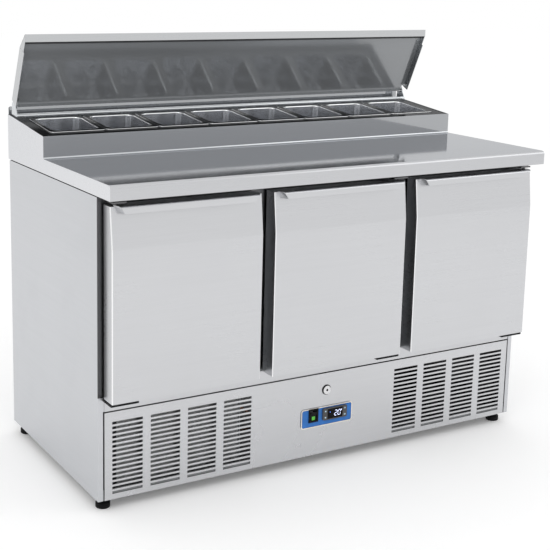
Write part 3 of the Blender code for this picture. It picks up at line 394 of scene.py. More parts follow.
# How metallic the worktop is, and how much of a grazing reflection it and the pans keep
WORKTOP_METAL = 0.85
WORKTOP_GRAZING = (0.70, 0.71, 0.73, 1)
PAN_GRAZING = (0.4, 0.4, 0.4, 1)


def node(tree, kind, **values):
    """A shader node with its settings and its sockets' constants."""
    made = tree.nodes.new(kind)
    for key, value in values.items():
        if key in made.inputs:
            made.inputs[key].default_value = value
        else:
            setattr(made, key, value)
    return made


def group(name, inputs, outputs):
    """An empty node group with named sockets."""
    tree = bpy.data.node_groups.new(name, "ShaderNodeTree")
    for socket, kind, value in inputs:
        made = tree.interface.new_socket(socket, in_out="INPUT", socket_type=kind)
        made.default_value = value
    for socket in outputs:
        tree.interface.new_socket(socket, in_out="OUTPUT", socket_type="NodeSocketFloat")
    return tree, tree.nodes.new("NodeGroupInput"), tree.nodes.new("NodeGroupOutput")


def pattern(tree, scale, kind, **values):
    """A texture on an object's own coordinates, with its scale from a socket."""
    made = node(tree, kind, **values)
    place = node(tree, "ShaderNodeTexCoord")
    tree.links.new(place.outputs["Object"], made.inputs["Vector"])
    tree.links.new(scale, made.inputs["Scale"])
    return made


def make_grain():
    """Brushing: fine lines drawn out along one direction of the sheet."""
    sockets = [("Stretch", "NodeSocketVector", ALONG_X)]
    tree, given, put = group("brushed_grain", sockets, ["Tone", "Height"])
    place = node(tree, "ShaderNodeTexCoord")
    drawn_out = node(tree, "ShaderNodeVectorMath", operation="MULTIPLY")
    lines = node(tree, "ShaderNodeTexNoise", Scale=1.0, Detail=5.0, Roughness=0.65)
    wide = node(tree, "ShaderNodeVectorMath", operation="SCALE", Scale=0.17)
    bands = node(tree, "ShaderNodeTexNoise", Scale=1.0, Detail=2.0, Roughness=0.5)
    both = node(tree, "ShaderNodeMath", operation="MULTIPLY_ADD")
    both.inputs[1].default_value = BAND_SHARE
    share = node(tree, "ShaderNodeMath", operation="MULTIPLY")
    share.inputs[1].default_value = 1 - BAND_SHARE
    link = tree.links.new
    link(place.outputs["Object"], drawn_out.inputs[0])
    link(given.outputs["Stretch"], drawn_out.inputs[1])
    link(drawn_out.outputs[0], lines.inputs["Vector"])
    link(drawn_out.outputs[0], wide.inputs[0])
    link(wide.outputs[0], bands.inputs["Vector"])
    link(lines.outputs["Fac"], share.inputs[0])
    link(bands.outputs["Fac"], both.inputs[0])
    link(share.outputs[0], both.inputs[2])
    link(both.outputs[0], put.inputs["Tone"])
    link(lines.outputs["Fac"], put.inputs["Height"])
    return tree


def make_marks():
    """Handling marks: soft patches left by wiping."""
    tree, given, put = group("handling_marks", [("Scale", "NodeSocketFloat", 4.0)], ["Mask"])
    cloud = pattern(tree, given.outputs["Scale"], "ShaderNodeTexNoise",
                    Detail=4.0, Roughness=0.55, Distortion=0.6)
    ramp = node(tree, "ShaderNodeMapRange", interpolation_type="SMOOTHSTEP")
    ramp.inputs["From Min"].default_value = 0.42
    ramp.inputs["From Max"].default_value = 0.72
    tree.links.new(cloud.outputs["Fac"], ramp.inputs["Value"])
    tree.links.new(ramp.outputs["Result"], put.inputs["Mask"])
    return tree


def make_pores():
    """Moulded texture: fine pores all over."""
    tree, given, put = group("moulded_pores", [("Size", "NodeSocketFloat", 900.0)], ["Height"])
    pores = pattern(tree, given.outputs["Size"], "ShaderNodeTexNoise", Detail=3.0, Roughness=0.6)
    tree.links.new(pores.outputs["Fac"], put.inputs["Height"])
    return tree


def make_spangle():
    """Zinc crystals: small patches, each with a tone and a height of its own."""
    tree, given, put = group("zinc_spangle", [("Size", "NodeSocketFloat", 160.0)], ["Tone", "Height"])
    cells = pattern(tree, given.outputs["Size"], "ShaderNodeTexVoronoi")
    single = node(tree, "ShaderNodeSeparateColor")
    tree.links.new(cells.outputs["Color"], single.inputs["Color"])
    tree.links.new(single.outputs["Red"], put.inputs["Tone"])
    tree.links.new(single.outputs["Green"], put.inputs["Height"])
    return tree


def make_zone():
    """A part with another finish: what lies beyond a place along a direction, or on both sides of it."""
    sockets = [("Direction", "NodeSocketVector", (0, 0, 1)), ("Start", "NodeSocketFloat", 0.0)]
    tree, given, put = group("finish_zone", sockets, ["Beyond", "Both Sides"])
    place = node(tree, "ShaderNodeTexCoord")
    along = node(tree, "ShaderNodeVectorMath", operation="DOT_PRODUCT")
    size = node(tree, "ShaderNodeMath", operation="ABSOLUTE")
    link = tree.links.new
    link(place.outputs["Object"], along.inputs[0])
    link(given.outputs["Direction"], along.inputs[1])
    link(along.outputs["Value"], size.inputs[0])
    for socket, value in (("Beyond", along.outputs["Value"]), ("Both Sides", size.outputs[0])):
        past = node(tree, "ShaderNodeMath", operation="SUBTRACT")
        mask = node(tree, "ShaderNodeMath", operation="DIVIDE", use_clamp=True)
        mask.inputs[1].default_value = ZONE_EDGE
        link(value, past.inputs[0])
        link(given.outputs["Start"], past.inputs[1])
        link(past.outputs[0], mask.inputs[0])
        link(mask.outputs[0], put.inputs[socket])
    return tree


GRAIN = make_grain()
MARKS = make_marks()
PORES = make_pores()
SPANGLE = make_spangle()
ZONE = make_zone()


def blank(name):
    material = bpy.data.materials.new(name)
    material.use_nodes = True
    tree = material.node_tree
    return material, tree, tree.nodes["Principled BSDF"]


def use_group(tree, source, **values):
    """The outputs of a node group, placed with its own values."""
    made = tree.nodes.new("ShaderNodeGroup")
    made.node_tree = source
    for key, value in values.items():
        made.inputs[key].default_value = value
    return made.outputs


def beyond(tree, direction, start):
    return use_group(tree, ZONE, Direction=direction, Start=start)["Beyond"]


def tint(tree, factor, first, second):
    """A colour between two, by a mask."""
    mix = node(tree, "ShaderNodeMix", data_type="RGBA")
    mix.inputs["A"].default_value = (*first, 1)
    mix.inputs["B"].default_value = (*second, 1)
    tree.links.new(factor, mix.inputs["Factor"])
    return mix.outputs["Result"]


def shades(tree, factor, colour, contrast):
    """A colour that is lighter and darker by a mask."""
    dark = [value * (1 - contrast) for value in colour]
    light = [min(1, value * (1 + contrast)) for value in colour]
    return tint(tree, factor, dark, light)


def level(tree, factor, low, high):
    """A value between two, by a mask."""
    ramp = node(tree, "ShaderNodeMapRange")
    ramp.inputs["To Min"].default_value = low
    ramp.inputs["To Max"].default_value = high
    tree.links.new(factor, ramp.inputs["Value"])
    return ramp.outputs["Result"]


def mixed(tree, factor, first, second, kind="RGBA"):
    """Between two outputs, by a mask."""
    mix = node(tree, "ShaderNodeMix", data_type=kind)
    tree.links.new(factor, mix.inputs["Factor"])
    tree.links.new(first, mix.inputs["A"])
    tree.links.new(second, mix.inputs["B"])
    return mix.outputs["Result"]


def relief(tree, shader, height, depth, strength=RELIEF):
    bump = node(tree, "ShaderNodeBump", Strength=strength, Distance=depth)
    tree.links.new(height, bump.inputs["Height"])
    tree.links.new(bump.outputs["Normal"], shader.inputs["Normal"])


def metal_sheet(name, stretch, patches):
    """A metal to start a finish from, with its brushed lines and the mask of its wiped patches."""
    material, tree, shader = blank(name)
    shader.inputs["Metallic"].default_value = 1.0
    grain = use_group(tree, GRAIN, Stretch=stretch)
    marks = use_group(tree, MARKS, Scale=patches)["Mask"]
    return material, tree, shader, grain, marks


def steel(name, colour, roughness, stretch, contrast=BRUSH_CONTRAST, wiped=0.05, depth=BRUSH_DEPTH,
          metal=1.0, grazing=1.0):
    """Stainless sheet: brushed lines in tone, gloss and relief, with wiped patches."""
    material, tree, shader, grain, marks = metal_sheet(name, stretch, SHEET_PATCHES)
    link = tree.links.new
    link(shades(tree, grain["Tone"], colour, contrast), shader.inputs["Base Color"])
    gloss = node(tree, "ShaderNodeMath", operation="ADD")
    link(level(tree, grain["Tone"], roughness - GLOSS_SPREAD, roughness + GLOSS_SPREAD), gloss.inputs[0])
    link(level(tree, marks, 0.0, wiped), gloss.inputs[1])
    link(gloss.outputs[0], shader.inputs["Roughness"])
    relief(tree, shader, grain["Height"], depth)
    shader.inputs["Metallic"].default_value = metal
    shader.inputs["Specular Tint"].default_value = (grazing, grazing, grazing, 1)
    return material


def worktop_finish(name, front, ends, top):
    """Stainless that is brushed on the front edge and both ends, and polished on top and on the housing.
    Its ends are painted lighter as painted light, and its top and housing darker as painted shade.
    """
    material, tree, shader, grain, marks = metal_sheet(name, ALONG_X, WORKTOP_PATCHES)
    tone = grain["Tone"]
    link = tree.links.new
    behind = beyond(tree, (0, 1, 0), WORKTOP_NOSE)
    outside = use_group(tree, ZONE, Direction=(1, 0, 0), Start=WORKTOP_ENDS)["Both Sides"]
    nose = shades(tree, tone, front, contrast=0.05)
    sheet = mixed(tree, behind, nose, shades(tree, tone, top, contrast=0.03))
    # Painted light and shade: the ends take a lighter colour and the top a darker one than the front.
    link(mixed(tree, outside, sheet, shades(tree, tone, ends, contrast=0.05)), shader.inputs["Base Color"])
    brushed = level(tree, tone, *WORKTOP_BRUSHED)
    gloss = mixed(tree, behind, brushed, level(tree, marks, *WORKTOP_POLISH), "FLOAT")
    link(mixed(tree, outside, gloss, brushed, "FLOAT"), shader.inputs["Roughness"])
    shader.inputs["Metallic"].default_value = WORKTOP_METAL
    shader.inputs["Specular Tint"].default_value = WORKTOP_GRAZING
    return material


def shaded_opening_finish(name, colour, opening_shade, stretch, fold_back):
    """Brushed stainless, with painted shade beside and above the door openings as far back as they fold."""
    material, tree, shader, grain, marks = metal_sheet(name, stretch, SHEET_PATCHES)
    tone = grain["Tone"]
    link = tree.links.new
    sheet = shades(tree, tone, colour, BRUSH_CONTRAST)
    above = beyond(tree, (0, 0, 1), OPENING_BOTTOM)
    painted_shade_sheet = mixed(tree, above, sheet, shades(tree, tone, opening_shade, BRUSH_CONTRAST))
    link(mixed(tree, beyond(tree, (0, 1, 0), fold_back), painted_shade_sheet, sheet), shader.inputs["Base Color"])
    link(level(tree, marks, *OPENING_BRUSHED), shader.inputs["Roughness"])
    relief(tree, shader, grain["Height"], BRUSH_DEPTH)
    return material


def pan_finish(name, rim, edge, well):
    """Drawn stainless: a flat rim on top painted dark as painted shade, round edges beside it painted
    bright as a painted highlight, and a satin well below.
    """
    material, tree, shader, grain, marks = metal_sheet(name, ALONG_Z, PAN_PATCHES)
    up = Vector(pivots["pan_1"]["axis"])
    deck = DECK_FRONT.dot(up)
    top = beyond(tree, up, deck + PAN_FLAT_START)
    above = beyond(tree, up, deck + PAN_WELL_START)
    tone = grain["Tone"]
    link = tree.links.new
    wall = shades(tree, tone, well, contrast=0.04)
    # Painted highlight on the round edges and painted shade on the flat rim.
    sheet = mixed(tree, above, wall, shades(tree, tone, edge, contrast=0.03))
    link(mixed(tree, top, sheet, shades(tree, tone, rim, contrast=0.02)), shader.inputs["Base Color"])
    gloss = mixed(tree, above, level(tree, marks, *PAN_SATIN), level(tree, marks, *PAN_POLISH), "FLOAT")
    link(gloss, shader.inputs["Roughness"])
    shader.inputs["Specular Tint"].default_value = PAN_GRAZING
    return material


def punched_sheet(name, colour, edge, face, stretch):
    """Brushed sheet whose punched edges, behind its front face, are painted dark as shade."""
    material, tree, shader, grain, marks = metal_sheet(name, stretch, SHEET_PATCHES)
    behind = beyond(tree, (0, 1, 0), face)
    link = tree.links.new
    sheet = shades(tree, grain["Tone"], colour, BRUSH_CONTRAST)
    punched_shade = shades(tree, grain["Tone"], edge, BRUSH_CONTRAST)
    link(mixed(tree, behind, sheet, punched_shade), shader.inputs["Base Color"])
    link(level(tree, marks, *GRILLE_BRUSHED), shader.inputs["Roughness"])
    relief(tree, shader, grain["Height"], BRUSH_DEPTH)
    return material


def spangled(name, colour, roughness):
    """Galvanised sheet with its crystal patches."""
    material, tree, shader = blank(name)
    spangle = use_group(tree, SPANGLE, Size=160.0)
    marks = use_group(tree, MARKS, Scale=ZINC_PATCHES)["Mask"]
    link = tree.links.new
    link(shades(tree, spangle["Tone"], colour, contrast=0.09), shader.inputs["Base Color"])
    link(level(tree, marks, roughness, roughness + ZINC_SPREAD), shader.inputs["Roughness"])
    relief(tree, shader, spangle["Height"], depth=0.00005, strength=0.1)
    shader.inputs["Metallic"].default_value = 1.0
    return material


def moulded(name, colour, roughness, gloss=0.5):
    """Plastic, rubber or paint with a fine moulded texture."""
    material, tree, shader = blank(name)
    pores = use_group(tree, PORES, Size=900.0)["Height"]
    marks = use_group(tree, MARKS, Scale=PLASTIC_PATCHES)["Mask"]
    link = tree.links.new
    dark = [value * PLASTIC_DARK for value in colour]
    light = [min(1, value * PLASTIC_LIGHT + PLASTIC_LIFT) for value in colour]
    link(tint(tree, marks, dark, light), shader.inputs["Base Color"])
    rough = level(tree, pores, roughness - PLASTIC_SPREAD, roughness + PLASTIC_SPREAD)
    link(rough, shader.inputs["Roughness"])
    relief(tree, shader, pores, depth=0.00004)
    shader.inputs["Specular IOR Level"].default_value = gloss
    return material


def lit(name, colour, glow, strength):
    """A lit mark: a coloured surface that gives off some light, uneven as a lamp behind it is."""
    material, tree, shader = blank(name)
    marks = use_group(tree, MARKS, Scale=LAMP_PATCHES)["Mask"]
    dark = [value * LAMP_DARK for value in glow]
    tree.links.new(tint(tree, marks, glow, dark), shader.inputs["Emission Color"])
    shader.inputs["Base Color"].default_value = (*colour, 1)
    shader.inputs["Roughness"].default_value = LAMP_ROUGHNESS
    shader.inputs["Emission Strength"].default_value = strength
    return material


FRONT_COLOUR = (0.585, 0.59, 0.605)
FRONT_STEEL = steel("front_steel", FRONT_COLOUR, 0.28, ALONG_X)
# The grille's slot walls are painted dark: painted shade in the slots.
GRILLE_STEEL = punched_sheet("grille_steel", FRONT_COLOUR, (0.012, 0.012, 0.013), GRILLE_FACE, ALONG_X)
# The doors' rounded corners are painted lighter: a painted highlight.
CORNER_HIGHLIGHT_STEEL = steel("corner_highlight_steel", (0.88, 0.885, 0.89), 0.20, ALONG_Z, contrast=0.03)
# Side panels and front frame: their second, dark colour is painted shade beside and above the door
# openings.
SIDE_STEEL = shaded_opening_finish(
    "side_steel", (0.575, 0.585, 0.605), (0.12, 0.12, 0.125), ALONG_Y, SIDE_FOLD_BACK)
FRAME_STEEL = shaded_opening_finish(
    "frame_steel", (0.575, 0.58, 0.595), (0.14, 0.14, 0.145), ALONG_X, FRAME_BACK)
LID_STEEL = steel("lid_steel", (0.54, 0.55, 0.56), 0.20, ALONG_X)
RAIL_STEEL = steel("rail_steel", (0.62, 0.64, 0.66), 0.16, ALONG_X)
# Worktop colours: the light one on the ends is painted light, the dark one on top painted shade.
WORKTOP_STEEL = worktop_finish(
    "worktop_steel", front=(0.55, 0.555, 0.57), ends=(0.78, 0.785, 0.80), top=(0.41, 0.42, 0.435))
# Pan colours: the dark rim is painted shade and the bright edge a painted highlight.
PAN_STEEL = pan_finish(
    "pan_steel", rim=(0.16, 0.165, 0.17), edge=(0.90, 0.91, 0.92), well=(0.70, 0.71, 0.73))
# The deck's near-black colour is painted shade: dark reflections painted into the steel.
DECK_STEEL = steel(
    "deck_steel", (0.11, 0.114, 0.12), 0.14, ALONG_X, contrast=0.05, depth=0.000002, grazing=0.4)
# The lid panel's dark colour is painted shade: darker reflections painted into the steel.
LID_PANEL_STEEL = steel(
    "lid_panel_steel", (0.285, 0.295, 0.305), 0.12, ALONG_X,
    contrast=0.04, wiped=0.02, depth=0.000004, metal=0.5)
# The mullions' dark colour is painted shade in the gaps between the doors.
MULLION_STEEL = steel("mullion_steel", (0.13, 0.135, 0.14), 0.32, ALONG_Z)
LINER_STEEL = steel("liner_steel", (0.58, 0.59, 0.60), 0.34, ALONG_X)
GALVANISED = spangled("galvanised_sheet", (0.48, 0.50, 0.52), 0.42)
# The tray's dark colour is painted shade in the machine space.
TRAY_SHEET = spangled("tray_sheet", (0.20, 0.205, 0.21), 0.46)
FIN_ALUMINIUM = steel("fin_aluminium", (0.72, 0.73, 0.74), 0.48, ALONG_Z, contrast=0.10)
CHROME = steel("chrome_plate", (0.76, 0.76, 0.77), 0.10, ALONG_Z, contrast=0.02)
COPPER = steel("copper_tube", (0.72, 0.38, 0.22), 0.30, ALONG_X, contrast=0.12)
BLACK_PLASTIC = moulded("black_plastic", (0.008, 0.008, 0.009), 0.45, gloss=0.1)
BEZEL_PLASTIC = moulded("bezel_plastic", (0.075, 0.075, 0.078), 0.40, gloss=0.3)
BUTTON_PLASTIC = moulded("button_plastic", (0.15, 0.155, 0.16), 0.40)
GASKET_RUBBER = moulded("gasket_rubber", (0.17, 0.17, 0.18), 0.62)
FASCIA_BLUE = moulded("fascia_blue", (0.035, 0.18, 0.55), 0.36, gloss=0.25)
FASCIA_DARK = moulded("fascia_dark", (0.02, 0.10, 0.36), 0.36)
FASCIA_CREAM = moulded("fascia_cream", (0.86, 0.81, 0.70), 0.40)
DISPLAY_BLACK = moulded("display_black", (0.003, 0.003, 0.005), 0.16, gloss=0.1)
BLACK_PAINT = moulded("black_paint", (0.010, 0.010, 0.011), 0.45, gloss=0.15)
GREEN_LENS = lit("green_lens", (0.06, 0.34, 0.03), (0.10, 0.50, 0.04), 0.30)
DIGIT_LIGHT = lit("digit_light", (0.55, 0.62, 0.9), (0.70, 0.76, 1.0), 1.3)
DOT_LIGHT = lit("dot_light", (0.05, 0.15, 0.7), (0.10, 0.25, 1.0), 0.9)
MARK_LIGHT = lit("mark_light", (0.42, 0.62, 0.78), (0.45, 0.70, 0.85), 0.5)


# Doors

DOOR_BREAK_DROP = 0.104
DOOR_SETBACK = 0.012
DOOR_BREAK_SOFTNESS = 0.003
DOOR_EDGE = 0.0022
DOOR_CORNER = 0.0045
CORNER_FRONT = 0.05
CORNER_SIDE = 0.2
GASKET_INSET = 0.020
GASKET_WIDTH = 0.014
GASKET_LIP = 0.0045
GASKET_GROOVE = 0.001
GASKET_GROOVE_DEPTH = 0.002
GASKET_EASE = 0.0009
LINER_MARGIN = 0.003
LINER_DISH = 0.006
HINGE_BORE = 0.0043
HINGE_BORE_DEPTH = 0.011


def door_skin(side):
    """The door's shell: a folded front that leans back at the top, and a dished liner inside its gasket."""
    low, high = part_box(f"{side}_door_panel")
    break_z = high.z - DOOR_BREAK_DROP
    skin = block(f"{side}_door_skin", low, high)
    edit(skin, "FACE", whole, bpy.ops.mesh.bisect, plane_co=(0, 0, break_z), plane_no=(0, 0, 1))

    def top_front(corner):
        return corner.co.y < low.y + NEAR and corner.co.z > high.z - NEAR

    def fold(edge):
        return runs(edge, "X") and abs(mid(edge).z - break_z) < NEAR and mid(edge).y < low.y + NEAR

    def rounded(face):
        """The rounded upright corners, by how far they face the front and the side."""
        return face.normal.y < -CORNER_FRONT and abs(face.normal.x) > CORNER_SIDE

    edit(skin, "VERT", top_front, bpy.ops.transform.translate, value=(0, DOOR_SETBACK, 0))
    ease(skin, DOOR_BREAK_SOFTNESS, 4, fold)
    ease(skin, DOOR_CORNER, 6, lambda edge: between(edge, faces_front) and not runs(edge, "X"))
    # The rounded corners take the lighter corner steel as a painted highlight.
    skin.data.materials.append(FRONT_STEEL)
    skin.data.materials.append(CORNER_HIGHLIGHT_STEEL)
    skin.active_material_index = 1
    edit(skin, "FACE", rounded, bpy.ops.object.material_slot_assign)
    ease(skin, DOOR_EDGE, 4, lambda edge: between(edge, faces_front) and runs(edge, "X"))
    pick(skin, "FACE", lambda face: face.normal.y > FACING)
    bpy.ops.mesh.dissolve_faces()
    bpy.ops.mesh.inset(thickness=GASKET_INSET + GASKET_WIDTH + LINER_MARGIN)
    bpy.ops.mesh.inset(thickness=LINER_DISH, depth=-LINER_DISH)
    close()
    x, y, _ = pivots[f"{side}_door"]["pos_m"]
    for z in (low.z, high.z):
        cut_out(skin, rod("drill", (x, y, z - HINGE_BORE_DEPTH), (x, y, z + HINGE_BORE_DEPTH), HINGE_BORE))
    settle(skin, f"{side}_door", "brushed_steel", FRONT_STEEL, f"{side}_door_panel")


HANDLE_SHEET = 0.003
HANDLE_BEND = 0.0075
HANDLE_FOLD_SLANT = 0.007
HANDLE_SLANT = 0.019
HANDLE_CORNER = 0.004
HANDLE_END = 0.003
HANDLE_CAP_INSET = 0.001
HANDLE_CAP_DEPTH = 0.005
HANDLE_CAP_SHEET = 0.0012


def door_handle(side):
    """The folded lip along the door's top, with slanted and closed ends and rounded lower corners."""
    low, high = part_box(f"{side}_door_handle")
    line = [(high.y, high.z), (low.y, high.z), (low.y, low.z)]
    left, right = low.x + HANDLE_END, high.x - HANDLE_END
    ends = ((left, 1), (right, -1))
    lip = folded_sheet(f"{side}_door_lip", left, right, line, (0, 0, 1))
    for x, inward in ends:
        for z, slant in ((low.z, HANDLE_SLANT), (high.z, HANDLE_FOLD_SLANT)):
            tip = Vector((x, low.y, z))
            edit(lip, "VERT", lambda corner: (corner.co - tip).length < NEAR,
                 bpy.ops.transform.translate, value=(inward * slant, 0, 0))
    edit(lip, "VERT", lambda corner: corner.co.z < low.z + NEAR,
         bpy.ops.mesh.bevel, offset=HANDLE_CORNER, segments=5, affect="VERTICES")
    ease(lip, HANDLE_BEND, 8, lambda edge: len(edge.link_faces) == 2 and runs(edge, "X"))
    shape(lip, "SOLIDIFY", thickness=HANDLE_SHEET, offset=-1.0)
    soft_edges(lip, SHEET_EASE)
    front, top = low.y + HANDLE_CAP_INSET, high.z - HANDLE_CAP_INSET
    bottom = low.z + HANDLE_CAP_INSET
    caps = []
    for x, inward in ends:
        cap = drawn("cap", [
            (x + inward * HANDLE_CAP_INSET, high.y, top), (x + inward * HANDLE_FOLD_SLANT, front, top),
            (x + inward * HANDLE_SLANT, front, bottom),
            (x + inward * HANDLE_FOLD_SLANT, high.y - HANDLE_CAP_DEPTH, bottom),
        ])
        bpy.ops.mesh.edge_face_add()
        close()
        edit(cap, "VERT", lambda corner: corner.co.y < front + NEAR and corner.co.z > top - NEAR,
             bpy.ops.mesh.bevel, offset=HANDLE_BEND, segments=8, affect="VERTICES")
        shape(cap, "SOLIDIFY", thickness=HANDLE_CAP_SHEET, offset=0.0)
        caps.append(cap)
    lip = joined(f"{side}_door_lip", [lip] + caps)
    settle(lip, f"{side}_door", "brushed_steel", FRONT_STEEL, f"{side}_door_handle")


def door_gasket(side):
    """The door's seal: a soft ring with a groove along it."""
    low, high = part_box(f"{side}_door_gasket")
    ring = block(f"{side}_door_seal", low, high)
    open_ring(ring, GASKET_WIDTH)
    pick(ring, "FACE", lambda face: face.normal.y > FACING)
    bpy.ops.mesh.inset(thickness=GASKET_LIP)
    bpy.ops.mesh.inset(thickness=GASKET_GROOVE, depth=-GASKET_GROOVE_DEPTH)
    close()
    soft_edges(ring, GASKET_EASE)
    settle(ring, f"{side}_door", "gasket_rubber", GASKET_RUBBER, f"{side}_door_gasket")


# Pans

PAN_RIM = (0.161, 0.176)
PAN_TOP = 0.0018
PAN_SEAT = -0.0006
PAN_FLANGE = 0.013
PAN_DEPTH = 0.0975
PAN_SHEET = 0.001
PAN_TAPER = 0.93
PAN_RIM_CORNER = 0.012
PAN_CORNER = 0.022
PAN_FOOT_ROUND = 0.015
PAN_MOUTH_ROUND = 0.003
PAN_EDGE_ROUND = 0.0011
PAN_MIDDLE = 0.122


def first_pan():
    """One pan in the deck's own plane: a drawn well with round corners in a rim with a turned-down edge."""
    width, length = PAN_RIM
    floor = PAN_TOP - PAN_DEPTH
    mouth_x, mouth_y = width / 2 - PAN_FLANGE, length / 2 - PAN_FLANGE
    well = block("well", (-mouth_x, -mouth_y, floor), (mouth_x, mouth_y, PAN_TOP))
    ease(well, PAN_CORNER, 8, lambda edge: runs(edge, "Z"))
    rim = block("rim", (-width / 2, -length / 2, PAN_SEAT), (width / 2, length / 2, PAN_TOP))
    ease(rim, PAN_RIM_CORNER, 6, lambda edge: runs(edge, "Z"))
    ease(rim, PAN_EDGE_ROUND, 3, lambda edge: min(v.co.z for v in edge.verts) > PAN_TOP - NEAR)
    cut_out(rim, copied(well, "cutter", Matrix.Translation((0, 0, PAN_DEPTH / 2))))

    def within(place):
        return abs(place.x) < mouth_x + PAN_FLANGE / 2 and abs(place.y) < mouth_y + PAN_FLANGE / 2

    def under(face):
        """The rim's underside and the walls of the hole in it."""
        upright = abs(face.normal.z) < 1 - FACING
        return face.normal.z < -FACING or upright and within(face.calc_center_median())

    def lid(face):
        """The well's closed top."""
        return faces_up(face) and face.calc_center_median().z > PAN_TOP - NEAR

    def mouth(edge):
        """Edges where the flat rim turns down into the well."""
        return between(edge, faces_up) and within(mid(edge)) and mid(edge).z > PAN_TOP - NEAR

    edit(rim, "FACE", under, bpy.ops.mesh.delete, type="FACE")
    edit(well, "VERT", lambda corner: corner.co.z < floor + NEAR,
         bpy.ops.transform.resize, value=(PAN_TAPER, PAN_TAPER, 1), center_override=(0, 0, floor))
    ease(well, PAN_FOOT_ROUND, 6, lambda edge: max(v.co.z for v in edge.verts) < floor + NEAR)
    edit(well, "FACE", lid, bpy.ops.mesh.delete, type="FACE")
    pan = joined("pan_sheet", [rim, well])
    pick(pan, "FACE", whole)
    bpy.ops.mesh.remove_doubles(threshold=NEAR)
    bpy.ops.mesh.normals_make_consistent(inside=False)
    top = max(bmesh.from_edit_mesh(pan.data).faces, key=lambda face: face.calc_center_median().z)
    if top.normal.z < 0:
        bpy.ops.mesh.flip_normals()
    close()
    ease(pan, PAN_MOUTH_ROUND, 4, mouth)
    shape(pan, "SOLIDIFY", thickness=PAN_SHEET, offset=-1.0)
    return pan


def pans():
    lift = Vector(pivots["pan_1"]["axis"])
    tilt = Matrix.Translation(DECK_FRONT) @ Matrix.Rotation(math.atan2(-lift.y, lift.z), 4, "X")
    places = []
    for pan in [f"pan_{number}" for number in range(1, PAN_COUNT + 1)]:
        low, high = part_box(pan)
        place = tilt @ Matrix.Translation(((low.x + high.x) / 2, PAN_MIDDLE, 0))
        places.append((f"{pan}_sheet", pan, place, pan))
    set_out(first_pan(), places, "polished_steel", PAN_STEEL)


# Worktop, housing and lid

WORK_HEIGHT = 0.850
COVE = 0.004
COVE_ROUND = 0.96 * COVE
COVE_PROFILE = 0.12
COVE_END_GAP = 0.0002


def worktop_fold():
    """The round fold where the worktop turns up into the pan housing, in a lighter steel than the worktop
    as a painted highlight.
    """
    low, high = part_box("worktop")
    y, z = DECK_FRONT.y, WORK_HEIGHT
    left, right = low.x + COVE_END_GAP, high.x - COVE_END_GAP
    fold = block("worktop_fold", (left, y - COVE, z), (right, y, z + COVE))

    def corner(edge):
        return runs(edge, "X") and mid(edge).y < y - COVE / 2 and mid(edge).z > z + COVE / 2

    ease(fold, COVE_ROUND, 6, corner, COVE_PROFILE)
    # The lighter rail steel here is a painted highlight along the fold.
    settle(fold, "cabinet", "polished_steel", RAIL_STEEL)


UPSTAND_SHEET = 0.0014
UPSTAND_HEIGHT = 0.0225
UPSTAND_END = 0.670
UPSTAND_REACH = 0.0105
UPSTAND_CORNER = 0.005
UPSTAND_BACK_GAP = 0.0003


def upstand_ends():
    """The upstand behind the lid, carried on past each hinge bracket with a rounded outer corner."""
    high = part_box("worktop")[1]
    back = high.y - UPSTAND_BACK_GAP
    for name, side in ENDS:
        outer = side * (UPSTAND_END + UPSTAND_REACH)
        left, right = sorted((side * UPSTAND_END, outer))
        bottom = (left, back - UPSTAND_SHEET, high.z - UPSTAND_HEIGHT)
        end = block(f"{name}_upstand_end", bottom, (right, back, high.z))

        def corner(edge):
            return runs(edge, "Y") and abs(mid(edge).x - outer) < NEAR and mid(edge).z > high.z - NEAR

        ease(end, UPSTAND_CORNER, 6, corner)
        soft_edges(end, FINE_EASE)
        settle(end, "cabinet", "polished_steel", WORKTOP_STEEL)


LID_LEAN = math.radians(65.1)
LID_HALF = 0.680
LID_SHEET = 0.0012
LID_END = ((0.1808, 0.0056), (0.2300, -0.0158), (0.2120, -0.0240), (0.1808, -0.0240))
# Place and size of the dark bead that paints the shade under the lid's front fold
LID_SHADE_BEAD_PLACE = (0.2012, -0.0108)
LID_SHADE_BEAD_RADIUS = 0.0024
LID_SHADE_BEAD_MARGIN = 0.002


def on_lid(x, along, above):
    """A place on the lid, from its hinge along the lid and above it."""
    _, y, z = pivots["lid"]["pos_m"]
    run, rise = math.cos(LID_LEAN), math.sin(LID_LEAN)
    return Vector((x, y - along * run + above * rise, z + along * rise + above * run))


def lid_details():
    """The plates that close the lid's front corners, and a dark bead along its inner panel that paints the
    shade under the lid's front fold.
    """
    for name, side in ENDS:
        x = side * (LID_HALF - LID_SHEET / 2)
        plate = drawn(f"{name}_lid_corner", [on_lid(x, *place) for place in LID_END])
        bpy.ops.mesh.edge_face_add()
        close()
        shape(plate, "SOLIDIFY", thickness=LID_SHEET, offset=0.0)
        soft_edges(plate, FINE_EASE)
        settle(plate, "lid", "brushed_steel", LID_STEEL)
    # A dark bead along the panel's front edge: painted shade under the lid's front fold.
    low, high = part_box("lid_inner_panel")
    start = on_lid(low.x + LID_SHADE_BEAD_MARGIN, *LID_SHADE_BEAD_PLACE)
    end = on_lid(high.x - LID_SHADE_BEAD_MARGIN, *LID_SHADE_BEAD_PLACE)
    seal = rod("lid_shade_bead", start, end, LID_SHADE_BEAD_RADIUS, sides=12)
    soft_edges(seal, SHEET_EASE)
    settle(seal, "lid", "black_plastic", BEZEL_PLASTIC)


# Controls

DISPLAY_LEAN = 0.16
SEGMENT = 0.0017
SEGMENT_POINT = 0.45 * SEGMENT
FIGURE_WIDTH = 0.0078
FIGURE_HEIGHT = 0.0145
FIGURES = ((0.0235, "abged"), (0.0348, "abcdef"))
BAR_ACROSS = FIGURE_WIDTH - 1.2 * SEGMENT
BAR_UP = FIGURE_HEIGHT / 2 - 1.1 * SEGMENT
MARK_DEPTH = 0.00025
MARK_EDGE = 0.3

